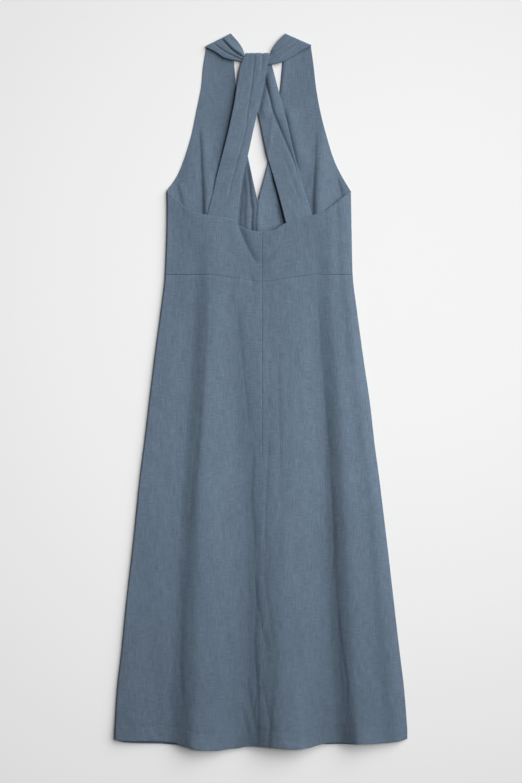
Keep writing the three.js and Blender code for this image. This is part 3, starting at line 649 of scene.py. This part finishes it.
def back_profile(side, y, step):
    """Rows of x and z across half of the back at heights y, from its rolled side to the centre seam."""
    fold_x, fold_lift = (np.array(values).T for values in fold_at(y))
    left = side == "left"
    seam_x = read(SIDES, "y", y, side) + (WALL / 2 if left else -WALL / 2)
    roll_x, roll_lift = (values[:, 0 if left else -1] for values in (fold_x, fold_lift))
    centre_x = CENTRE_BACK + (-SEWN_GAP if left else SEWN_GAP) / 2
    inward = 1 - np.cos(np.linspace(0, math.pi / 2, SIDE_POINTS))
    roll = seam_x[:, None] + (roll_x - seam_x)[:, None] * inward
    start = LEFT_EDGE_LIFT if left else 0
    corner = np.sqrt(np.clip(np.abs(roll - seam_x[:, None]) / SIDE_CORNER, 0, 1)) - 1
    up = start + corner * WALL / 2 + (roll_lift - start)[:, None] * inward * (2 - inward)
    across = spread(np.abs(centre_x - roll_x).max(), step, at_start=False)[1:]
    x = roll_x[:, None] + (centre_x - roll_x)[:, None] * across
    lift = np.concatenate([up, smooth_rows(fold_x, fold_lift, x)], axis=1)
    return np.concatenate([roll, x], axis=1), WALL + SEAM_GAP + WALL / 2 + lift


def smooth_rows(knot_x, knot_z, x):
    """z at x in each row, on a smooth curve through that row's knots which never overshoots them."""
    slopes = np.zeros_like(knot_z)
    slopes[:, 1:-1] = inner_slopes(np.diff(knot_z, axis=1) / np.diff(knot_x, axis=1))
    z = np.zeros_like(x)
    for i in range(knot_x.shape[1] - 1):
        a, b = knot_x[:, i, None], knot_x[:, i + 1, None]
        t = (x - a) / (b - a)
        start_slope, end_slope = (slopes[:, k, None] * (b - a) for k in (i, i + 1))
        curve = bend(knot_z[:, i, None], knot_z[:, i + 1, None], start_slope, end_slope, t)
        z = np.where((t >= 0) & (t <= 1), curve, z)
    return z


def waist_at(x):
    """The height of the waist seam of the back, which dips at its middle."""
    return WAIST - WAIST_DIP * np.exp(-(((x - WAIST_DIP_X) / WAIST_DIP_WIDTH) ** 2))


def left_edge_lift(x, y):
    """How far the front stands off the floor along its left side seam."""
    inset = (x - read(SIDES, "y", y, "left")) / LEFT_EDGE_CURL
    above = (y - UNDERARM) / LEFT_EDGE_CURL
    return LEFT_EDGE_LIFT * np.clip(1 - inset, 0, 1) ** 2 * ease(1 - above)


def hem_lift(x, y):
    """How far the hem of both layers stands off the floor, most of all at its left corner."""
    up = np.maximum(y - back_hem(x), 0)
    corner = CORNER_LIFT * np.exp(-(((x - CORNER_X) / CORNER_WIDTH) ** 2))
    return (HEM_LIFT + corner) * np.exp(-up / HEM_LIFT_REACH)


def back_grid(side, part, to_edge, shares, step, cloth, seed, dips):
    """The middle of the wall of half of a part of the back, and how far its seams are shut."""
    on_skirt = part == "skirt"
    from_y, to_y = STATIONS["waist"], STATIONS["hem" if on_skirt else "top"]
    x, z = back_profile(side, from_y + (to_y - from_y) * shares, step)
    share = shares[:, None]
    waist_y = waist_at(x) + (-SEAM_GAP if on_skirt else SEAM_GAP) / 2
    edge_y = to_edge(x)
    y = waist_y * (1 - share) + edge_y * share
    loose = np.clip((z - left_edge_lift(x, y) - WALL - SEAM_GAP - WALL / 2) / BACK_FREE, 0, 1)
    if on_skirt:
        flare = np.clip(z / FULL_FOLD, 0, 1) ** 2 * HEM_FLARE
        z = z + (hem_lift(x, y) + flare * np.exp(-np.maximum(y - edge_y, 0) / FLARE_REACH))
    relief, _ = pressed(x, y, BACK_CREASES)
    z = z + loose * (relief * cloth.crease + crumple(x, y, cloth.crumple, seed))
    to_waist, to_centre = np.abs(y - waist_y), np.abs(x - CENTRE_BACK)
    waist_open = opened(to_centre, *WAIST_OPENS)
    centre_open = opened(y, *CENTRE_OPENS)
    z = z - loose * seam_dip(to_waist, dips["waist"]) * waist_open
    z = z - loose * seam_dip(np.abs(y - edge_y), dips["edge"])
    if on_skirt:
        z = z - loose * HEM_DIP * np.exp(-(((y - edge_y - HEM) / HEM_DIP_WIDTH) ** 2))
    z = z - loose * seam_dip(to_centre, dips["centre"]) * centre_open
    waist_shut = (1 - waist_open) * (to_waist < SEAM_REACH)
    centre_shut = (1 - centre_open) * (to_centre < SEAM_REACH)
    return np.stack([x, y, z], axis=2), np.maximum(waist_shut, centre_shut) ** 2


def back_hem(x):
    """The height of the back's hem line."""
    return read(BACK_HEM, "x", x, "y")


def back_shell(name, points, shut, material):
    """Half of the back as a piece whose side seam lies level on the front."""
    normals = square_to(points)
    normals[:, 0, 2] = 0
    normals[:, -1, 0] = 0
    normals /= np.linalg.norm(normals, axis=2, keepdims=True)
    facing = np.where(normals[:, 1:, 2].sum() < 0, -1, 1)
    return shell(name, points, WALL, points[:, :, :2], material, normals * facing, soft_edge=0.5, shut=shut)


def rows_between(outer, inner, across):
    """A grid in plan between two edges of equal length."""
    return outer[:, None, :] * (1 - across[None, :, None]) + inner[:, None, :] * across[None, :, None]


def turned(ends, radius, wall, across, steps):
    """A half turn about the line through two ends, from the lower layer to the upper one, and its axis."""
    ends = np.array(ends, float)
    run = ends[1] - ends[0]
    away = np.array([-run[1], run[0]]) / np.linalg.norm(run)
    if away[1] < 0:
        away = -away
    axis = ends - away * (radius + wall / 2)
    angles = np.linspace(0, math.pi, steps + 1)
    line = axis[0][None, :] * (1 - across[:, None]) + axis[1][None, :] * across[:, None]
    plan = line[None, :, :] + radius * np.sin(angles)[:, None, None] * away
    z = wall / 2 + radius - radius * np.cos(angles)
    return np.dstack([plan, np.broadcast_to(z[:, None], plan.shape[:2])]), axis, away


def starting_at(tab, columns, row, axis):
    """A section table with one row moved to where the cloth starts to bend."""
    moved = {name: values.copy() for name, values in tab.items()}
    for k, name in enumerate(columns):
        moved[name] = moved[name].astype(float)
        moved[name][row] = axis.ravel()[k]
    return moved


def front_lift(x, y):
    """How far the front bodice stands off the floor."""
    lift = np.zeros(np.shape(x))
    for i in range(len(HUMPS["hump"])):
        off = ((x - HUMPS["x"][i]) / HUMPS["half_width"][i]) ** 2
        off = off + ((y - HUMPS["y"][i]) / HUMPS["half_length"][i]) ** 2
        lift += HUMPS["height"][i] * np.clip(1 - off, 0, 1) ** 2
    return lift


def linked(tree, kind, inputs=None, **settings):
    """Adds a node with its settings and inputs: a value sets an input and a socket is linked to it."""
    node = tree.nodes.new(kind)
    for name, value in settings.items():
        setattr(node, name, value)
    for name, value in (inputs or {}).items():
        socket = node.inputs[name]
        if isinstance(value, bpy.types.NodeSocket):
            tree.links.new(value, socket)
        else:
            socket.default_value = value
    return node


def linear(colour):
    """Scene-linear values from an sRGB colour written in hex."""
    parts = [int(colour[i:i + 2], 16) / 255 for i in (1, 3, 5)]
    return [c / 12.92 if c <= 0.04045 else ((c + 0.055) / 1.055) ** 2.4 for c in parts] + [1.0]


def new_material(name):
    """A material with an empty node tree."""
    material = bpy.data.materials.new(name)
    material.use_nodes = True
    tree = material.node_tree
    tree.nodes.clear()
    return material, tree


def surface(tree, inputs):
    """The shader that a material ends in."""
    shader = linked(tree, "ShaderNodeBsdfPrincipled", inputs)
    linked(tree, "ShaderNodeOutputMaterial", {"Surface": shader.outputs["BSDF"]})


def streaks(tree, grain, across, along, seed):
    """Noise drawn out along one direction of the cloth, in waves of those sizes in metres."""
    place = linked(
        tree, "ShaderNodeMapping",
        {"Vector": grain, "Location": (seed, seed * 0.37, 0), "Scale": (1 / across, 1 / along, 1)},
        vector_type="POINT",
    )
    wave = linked(
        tree, "ShaderNodeTexNoise",
        {"Vector": place.outputs["Vector"], "Scale": 1.0, "Detail": 2.0, "Roughness": 0.6},
        noise_dimensions="2D",
    )
    return wave.outputs["Fac"]


def maths(tree, operation, a, b=0.0, c=0.0):
    """The result of one sum on numbers or sockets."""
    node = tree.nodes.new("ShaderNodeMath")
    node.operation = operation
    for socket, value in zip(node.inputs, (a, b, c)):
        if isinstance(value, bpy.types.NodeSocket):
            tree.links.new(value, socket)
        else:
            socket.default_value = value
    return node.outputs[0]


def linen_material(cloth):
    """Washed linen: slubs and uneven threads break up a matt blue-grey, with a faint sheen at its edges."""
    material, tree = new_material("Washed linen, slate blue")
    grain = linked(tree, "ShaderNodeUVMap", uv_map="Grain").outputs["UV"]
    warp = streaks(tree, grain, across=0.0019, along=0.026, seed=3.1)
    weft = streaks(tree, grain, across=0.017, along=0.0019, seed=7.7)
    fine_warp = streaks(tree, grain, across=0.0011, along=0.012, seed=11.3)
    fine_weft = streaks(tree, grain, across=0.009, along=0.0011, seed=17.9)
    patch = streaks(tree, grain, across=0.013, along=0.03, seed=29.1)
    cloud = streaks(tree, grain, across=0.05, along=0.13, seed=23.3)
    # In some places the slubs of the warp stand out and in others those of the weft, mostly the warp's.
    weft_share = linked(
        tree, "ShaderNodeMapRange",
        {"Value": patch, "From Min": 0.38, "From Max": 0.62, "To Min": 0.18, "To Max": 0.72},
        interpolation_type="SMOOTHSTEP",
    ).outputs["Result"]
    threads = maths(tree, "MULTIPLY_ADD", maths(tree, "SUBTRACT", weft, warp), weft_share, warp)
    fine = maths(tree, "MULTIPLY_ADD", maths(tree, "SUBTRACT", fine_weft, fine_warp), weft_share, fine_warp)
    thread_share, fine_share, cloud_share = 0.64, 0.46, 0.16
    tone = maths(tree, "ADD", maths(tree, "MULTIPLY", threads, thread_share),
                 maths(tree, "MULTIPLY", fine, fine_share))
    tone = maths(tree, "MULTIPLY_ADD", cloud, cloud_share, tone)
    ramp = linked(tree, "ShaderNodeValToRGB", {"Fac": tone})
    ramp.color_ramp.elements[0].position = 0.4
    ramp.color_ramp.elements[0].color = linear(cloth.deep_colour)
    ramp.color_ramp.elements[1].position = 0.86
    ramp.color_ramp.elements[1].color = linear(cloth.pale_colour)
    # Painted shade: the colour is made darker toward the hem, where the light falls off.
    place = linked(tree, "ShaderNodeTexCoord").outputs["Object"]
    height_up = linked(tree, "ShaderNodeSeparateXYZ", {"Vector": place}).outputs["Y"]
    painted_shade = linked(
        tree, "ShaderNodeMapRange",
        {"Value": height_up, "From Min": -0.62, "From Max": -0.14,
         "To Min": cloth.painted_hem_shade, "To Max": 1.0},
    )
    colour = linked(
        tree, "ShaderNodeVectorMath",
        {"Vector": ramp.outputs["Color"], "Scale": painted_shade.outputs["Result"]},
        operation="SCALE",
    ).outputs["Vector"]
    # The real threads are 0.7 mm apart; they are drawn a little coarser, so that a close view shows them.
    split = linked(tree, "ShaderNodeSeparateXYZ", {"Vector": grain})
    turn = 2 * math.pi / cloth.thread_spacing
    weave = maths(
        tree, "MULTIPLY",
        maths(tree, "SINE", maths(tree, "MULTIPLY", split.outputs["X"], turn)),
        maths(tree, "SINE", maths(tree, "MULTIPLY", split.outputs["Y"], turn)),
    )
    weave_share = 0.25
    height = maths(tree, "MULTIPLY_ADD", weave, weave_share, maths(tree, "ADD", threads, fine))
    bump = linked(tree, "ShaderNodeBump", {"Strength": 0.35, "Distance": 0.0006, "Height": height})
    surface(tree, {"Base Color": colour, "Roughness": 0.9, "Specular IOR Level": 0.12,
                   "Sheen Weight": 0.12, "Sheen Roughness": 0.5, "Normal": bump.outputs["Normal"]})
    return material


def thread_material(colour):
    """Spun sewing thread: a shade deeper than the linen and a little smoother, so that it just shows."""
    material, tree = new_material("Spun thread, slate blue")
    surface(tree, {"Base Color": linear(colour), "Roughness": 0.7, "Specular IOR Level": 0.3})
    return material


def thread(cloth):
    """The thread that the hem is sewn with."""
    return bpy.data.materials.get("Spun thread, slate blue") or thread_material(cloth.thread_colour)


def floor_material(colour):
    """A pale painted floor, matt enough to show only the dress's soft shadow."""
    material, tree = new_material("Pale matt floor")
    surface(tree, {"Base Color": linear(colour), "Roughness": 0.95, "Specular IOR Level": 0.1})
    return material


def linen(cloth):
    """The one linen that every piece is cut from."""
    return bpy.data.materials.get("Washed linen, slate blue") or linen_material(cloth)


class DressCloth(bpy.types.PropertyGroup):
    """The linen and how it lies."""

    deep_colour: bpy.props.StringProperty(
        name="Deep colour", description="The linen's deeper threads, an sRGB hex colour", default="#505E6C")
    pale_colour: bpy.props.StringProperty(
        name="Pale colour", description="The linen's paler threads, an sRGB hex colour", default="#697A8C")
    thread_colour: bpy.props.StringProperty(
        name="Thread colour", description="The sewing thread, as an sRGB hex colour", default="#3E4A57")
    # Painted shade: how dark the colour is made at the hem, as a share of the waist's, where the light
    # falls off.
    painted_hem_shade: bpy.props.FloatProperty(
        name="Hem colour", description="The hem's colour as a share of the waist's", default=0.8)
    thread_spacing: bpy.props.FloatProperty(
        name="Thread spacing", description="From one thread to the next", default=0.0009, unit="LENGTH")
    crumple: bpy.props.FloatProperty(
        name="Crumple", description="How uneven the linen is, where 1 is as washed", default=1.0, min=0.0)
    crease: bpy.props.FloatProperty(
        name="Creases", description="How deep the creases are, where 1 is as laid", default=1.0, min=0.0)
    mesh_step: bpy.props.FloatProperty(
        name="Mesh step", description="Size of the cloth's mesh faces in millimetres", default=2.4, min=1.0)


class DressStage(bpy.types.PropertyGroup):
    """The floor, light and camera."""

    floor_colour: bpy.props.StringProperty(
        name="Floor colour", description="The floor, as an sRGB hex colour", default="#E6E6E6")
    side_power: bpy.props.FloatProperty(
        name="Side light", description="Power of the broad side light", default=6900.0, unit="POWER")
    pool_power: bpy.props.FloatProperty(
        name="Pool light", description="Power of the soft light over the waist", default=4.0, unit="POWER")
    fill: bpy.props.FloatProperty(
        name="Fill", description="Strength of the even light from all round", default=0.08, min=0.0)
    camera_height: bpy.props.FloatProperty(
        name="Camera height", description="Camera above the floor", default=3.0, unit="LENGTH")
    view_length: bpy.props.FloatProperty(
        name="View length", description="Length of floor in the picture", default=1.37, unit="LENGTH")


class DRESS_OT_front_skirt(bpy.types.Operator):
    """Lays the front skirt on the floor"""

    bl_idname = "dress.front_skirt"
    bl_label = "Front skirt"

    def execute(self, context):
        cloth = context.scene.dress_cloth
        shares = spread(WAIST, FRONT_STEP_ALONG)
        across = spread(2 * SIDES["right"].max(), FRONT_STEP_ACROSS)
        level = WAIST * (1 - shares)
        left, right = (read(SIDES, "y", level, side)[:, None] for side in ("left", "right"))
        x = left + (right - left) * across
        share = shares[:, None]
        y = (WAIST - SEAM_GAP / 2) * (1 - share) + read(FRONT_HEM, "x", x, "y") * share
        points = np.dstack([x, y, WALL / 2 + left_edge_lift(x, y) + hem_lift(x, y)])
        piece = shell("front_skirt_linen", points, WALL, points[:, :, :2], linen(cloth))
        declare(piece, "front_skirt")
        return {"FINISHED"}


class DRESS_OT_front_bodices(bpy.types.Operator):
    """Lays both halves of the front bodice, turns their halters over and gathers them at the nape"""

    bl_idname = "dress.front_bodices"
    bl_label = "Front bodices"

    def execute(self, context):
        cloth = context.scene.dress_cloth
        self.half(cloth, "left", LEFT_HALTER, LEFT_BAND, LEFT_BAND_CREASES)
        self.half(cloth, "right", RIGHT_HALTER, RIGHT_BAND, RIGHT_BAND_CREASES)
        return {"FINISHED"}

    @staticmethod
    def half(cloth, side, halter, band, band_creases):
        step = cloth.mesh_step
        across = spread(BODICE_WIDTH, BODICE_STEP)
        ends = [(halter[f"{end}_x"][-1], halter[f"{end}_y"][-1]) for end in ("outer", "inner")]
        turn, axis, away = turned(ends, HALTER_TURN, WALL, across, HALTER_TURN_STEPS)
        columns = PLAN_COLUMNS.split()[1:]
        halter = starting_at(halter, columns, -1, axis)
        band = starting_at(band, columns, 0, axis)
        seam_x = CENTRE_FRONT + (-SEWN_GAP if side == "left" else SEWN_GAP) / 2
        halter["inner_x"][0] = seam_x
        low = spread(BODICE_HEIGHT, step, at_end=False)
        bottom = WAIST + SEAM_GAP / 2
        side_y = bottom + (UNDERARM - WAIST - SEAM_GAP / 2) * low
        seam_y = bottom + (halter["inner_y"][0] - WAIST - SEAM_GAP / 2) * low
        lower = rows_between(
            np.stack([read(SIDES, "y", side_y, side), side_y], axis=1),
            np.stack([np.full(len(low), seam_x), seam_y], axis=1),
            across,
        )
        high = spread(HALTER_HEIGHT, step, at_start=False, at_end=False)[1:-1]
        upper = rows_between(
            edge(halter, "outer_x", "outer_y", high), edge(halter, "inner_x", "inner_y", high), across)
        flat = np.concatenate([lower, upper])
        x, y = flat[:, :, 0], flat[:, :, 1]
        relief, lip = pressed(x, y, FRONT_CREASES)
        lift = front_lift(x, y) + left_edge_lift(x, y) + lip * cloth.crease
        loose = np.clip(lift / FRONT_FREE, 0, 1)
        wrinkle = (relief - lip) * cloth.crease + crumple(x, y, FRONT_CRUMPLE * cloth.crumple, FRONT_SEED)
        z = np.maximum(lift + loose * wrinkle, 0) + WALL / 2
        lying = np.dstack([flat, z])
        gathered = spread(BAND_LENGTH, BAND_STEP, at_start=False)[1:]
        plan = rows_between(
            edge(band, "outer_x", "outer_y", gathered), edge(band, "inner_x", "inner_y", gathered), across)
        bulge = np.sqrt(np.sin(np.clip(across, 0, 1) * math.pi))
        puff = along_rows(band, "puff", gathered)[:, None] * bulge
        z = along_rows(band, "z", gathered)[:, None] + puff
        z = z + pressed(plan[:, :, 0], plan[:, :, 1], band_creases)[0] * cloth.crease
        on_top = np.dstack([plan, np.maximum(z, BAND_LOWEST)])
        points = np.concatenate([lying, turn, on_top])
        mirror = plan - 2 * ((plan - axis[0]) @ away)[:, :, None] * away
        round_turn = np.linspace(0, math.pi, len(turn)) * HALTER_TURN
        over = turn[:, :, :2] + away * round_turn[:, None, None]
        grain = np.concatenate([flat, over, mirror + away * math.pi * HALTER_TURN])
        shut = np.zeros(points.shape[:2])
        shut[:len(low) - 1, -SEWN_COLUMNS:] = 1
        name = f"front_bodice_{side}_linen"
        piece = shell(name, points, WALL, grain, linen(cloth), soft_edge=0.5, shut=shut)
        declare(piece, f"front_bodice_{side}")


class DRESS_OT_back_skirts(bpy.types.Operator):
    """Lays both halves of the back skirt in their folds"""

    bl_idname = "dress.back_skirts"
    bl_label = "Back skirts"

    def execute(self, context):
        cloth = context.scene.dress_cloth
        shares = spread(WAIST, cloth.mesh_step)
        for side in ("left", "right"):
            points, shut = back_grid(
                side, "skirt", back_hem, shares, cloth.mesh_step, cloth, SKIRT_SEED, SKIRT_DIPS)
            piece = back_shell(f"back_skirt_{side}_linen", points, shut, linen(cloth))
            sewn = across_grid(points[:, HEM_STARTS:], lambda x: back_hem(x) + HEM)
            row = stitch_row(context, f"hem_stitches_{side}", sewn, thread(cloth))
            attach(row, "root")
            declare(piece, f"back_skirt_{side}")
        return {"FINISHED"}


class DRESS_OT_back_bodices(bpy.types.Operator):
    """Lays both halves of the back bodice over the front"""

    bl_idname = "dress.back_bodices"
    bl_label = "Back bodices"

    def execute(self, context):
        cloth = context.scene.dress_cloth
        shares = spread(BACK_BODICE_HEIGHT, BACK_BODICE_STEP)
        for side in ("left", "right"):
            points, shut = back_grid(
                side, "bodice", lambda x: read(BACK_EDGE, "x", x, "y"), shares, BACK_BODICE_STEP,
                cloth, BACK_BODICE_SEED, BODICE_DIPS)
            piece = back_shell(f"back_bodice_{side}_linen", points, shut, linen(cloth))
            declare(piece, f"back_bodice_{side}")
        return {"FINISHED"}


class DRESS_OT_back_strap(bpy.types.Operator):
    """Loops the strap over the gathered neckband"""

    bl_idname = "dress.back_strap"
    bl_label = "Back strap"

    def execute(self, context):
        cloth = context.scene.dress_cloth
        across = spread(STRAP_WIDTH, STRAP_STEP)
        ends = [(UPPER_LEG[f"{end}_x"][-1], UPPER_LEG[f"{end}_y"][-1]) for end in ("left", "right")]
        loop, axis, away = turned(ends, LOOP_TURN, STRAP_WALL, across, LOOP_TURN_STEPS)
        columns = LEG_COLUMNS.split()[1:]
        upper = self.leg(
            cloth, starting_at(UPPER_LEG, columns, -1, axis), across, UPPER_LEG_CREASES, UPPER_LEG_SEED)
        under = self.leg(
            cloth, starting_at(UNDER_LEG, columns, 0, axis), across, UNDER_LEG_CREASES, UNDER_LEG_SEED)
        gather = pressed(loop[:, :, 0], np.full(loop.shape[:2], NAPE), UPPER_LEG_CREASES)[0]
        angle = np.linspace(0, math.pi, len(loop))[:, None] * np.ones(len(across))
        outward = np.dstack([away[0] * np.sin(angle), away[1] * np.sin(angle), -np.cos(angle)])
        loop = loop + outward * (gather * np.sin(angle) ** 2)[:, :, None]
        points = np.concatenate([upper[:-1], loop[::-1], under[1:]])
        steps = np.linalg.norm(np.diff(points[:, GRAIN_COLUMN], axis=0), axis=1)
        run = np.concatenate([[0], np.cumsum(steps)])
        grain = np.dstack(np.broadcast_arrays(STRAP_WIDTH * across[None, :], run[:, None]))
        piece = shell("back_strap_linen", points, STRAP_WALL, grain, linen(cloth), soft_edge=0.35)
        declare(piece, "back_strap")
        return {"FINISHED"}

    @staticmethod
    def leg(cloth, tab, across, creases, seed):
        shares = spread(LEG_LENGTH, LEG_STEP, at_start=False, at_end=False)
        plan = rows_between(
            edge(tab, "left_x", "left_y", shares), edge(tab, "right_x", "right_y", shares), across)
        x, y = plan[:, :, 0], plan[:, :, 1]
        roll = STRAP_BULGE * np.sqrt(np.clip(4 * across * (1 - across), 0, 1)) - STRAP_SINK
        tilt = along_rows(tab, "rise", shares)[:, None] * (0.5 - across)
        z = along_rows(tab, "z", shares)[:, None] + roll + tilt
        # The seam at one end and the loop at the other hold the leg smooth.
        free = np.clip(3 * np.minimum(shares, 1 - shares), 0, 1)[:, None]
        uneven = free * crumple(x, y, STRAP_CRUMPLE * cloth.crumple, seed)
        z = z + pressed(x, y, creases)[0] * cloth.crease + uneven
        return np.dstack([plan, np.maximum(z, STRAP_WALL / 2)])


class DRESS_OT_stage(bpy.types.Operator):
    """Makes the floor, the light and the camera"""

    bl_idname = "dress.stage"
    bl_label = "Floor, light and camera"

    def execute(self, context):
        settings = context.scene.dress_stage
        reach = 6.0
        mesh = bpy.data.meshes.new("floor")
        corners = [(-reach, -reach, 0), (reach, -reach, 0), (reach, reach, 0), (-reach, reach, 0)]
        mesh.from_pydata(corners, [], [(0, 1, 2, 3)])
        mesh.materials.append(floor_material(settings.floor_colour))
        placed("floor", mesh)

        self.light("side_light", settings.side_power, place=(13.8, 9.6, 10.9), target=(0, 0, 0),
                   size=(26.0, 16.0), spread_angle=180)
        self.light("pool_light", settings.pool_power, place=(1.6, 0.5, 3.8), target=(0, 0.1, 0),
                   size=(1.2, 1.2), spread_angle=40)
        world = bpy.data.worlds.new("Studio")
        world.use_nodes = True
        background = world.node_tree.nodes["Background"]
        cool_white = (0.97, 0.98, 1.04, 1.0)
        background.inputs["Color"].default_value = cool_white
        background.inputs["Strength"].default_value = settings.fill
        context.scene.world = world
        context.scene.view_settings.view_transform = "Standard"

        sensor = 36.0
        picture_middle = 0.0006  # how far up the dress from its middle the picture's middle is, in metres
        camera_data = bpy.data.cameras.new("camera")
        camera_data.sensor_width = sensor
        camera_data.lens = sensor * settings.camera_height / settings.view_length
        camera = placed("camera", camera_data)
        camera.location = (0.0, picture_middle, settings.camera_height)
        context.scene.camera = camera
        return {"FINISHED"}

    @staticmethod
    def light(name, power, place, target, size, spread_angle):
        """A rectangular lamp at a place in metres, pointed at a target."""
        data = bpy.data.lights.new(name, "AREA")
        data.shape = "RECTANGLE"
        data.size, data.size_y = size
        data.energy = power
        data.spread = math.radians(spread_angle)
        lamp = placed(name, data)
        lamp.location = place
        lamp.rotation_euler = (Vector(target) - Vector(place)).to_track_quat("-Z", "Y").to_euler()


class DRESS_PT_build(bpy.types.Panel):
    """The dress's pieces and the sizes they are built from."""

    bl_idname = "DRESS_PT_build"
    bl_label = "Dress"
    bl_space_type = "VIEW_3D"
    bl_region_type = "UI"
    bl_category = "Dress"

    def draw(self, context):
        for settings in (context.scene.dress_cloth, context.scene.dress_stage):
            for name in settings.__annotations__:
                self.layout.prop(settings, name)
        for operator in OPERATORS:
            self.layout.operator(operator.bl_idname)


OPERATORS = (
    DRESS_OT_front_skirt,
    DRESS_OT_front_bodices,
    DRESS_OT_back_skirts,
    DRESS_OT_back_bodices,
    DRESS_OT_back_strap,
    DRESS_OT_stage,
)
CLASSES = (DressCloth, DressStage, *OPERATORS, DRESS_PT_build)


def register():
    for cls in CLASSES:
        bpy.utils.register_class(cls)
    bpy.types.Scene.dress_cloth = bpy.props.PointerProperty(type=DressCloth)
    bpy.types.Scene.dress_stage = bpy.props.PointerProperty(type=DressStage)


def unregister():
    del bpy.types.Scene.dress_stage
    del bpy.types.Scene.dress_cloth
    for cls in reversed(CLASSES):
        bpy.utils.unregister_class(cls)


def main():
    register()
    bpy.ops.dress.front_skirt()
    bpy.ops.dress.front_bodices()
    bpy.ops.dress.back_skirts()
    bpy.ops.dress.back_bodices()
    bpy.ops.dress.back_strap()
    bpy.ops.dress.stage()


if __name__ == "__main__":
    main()
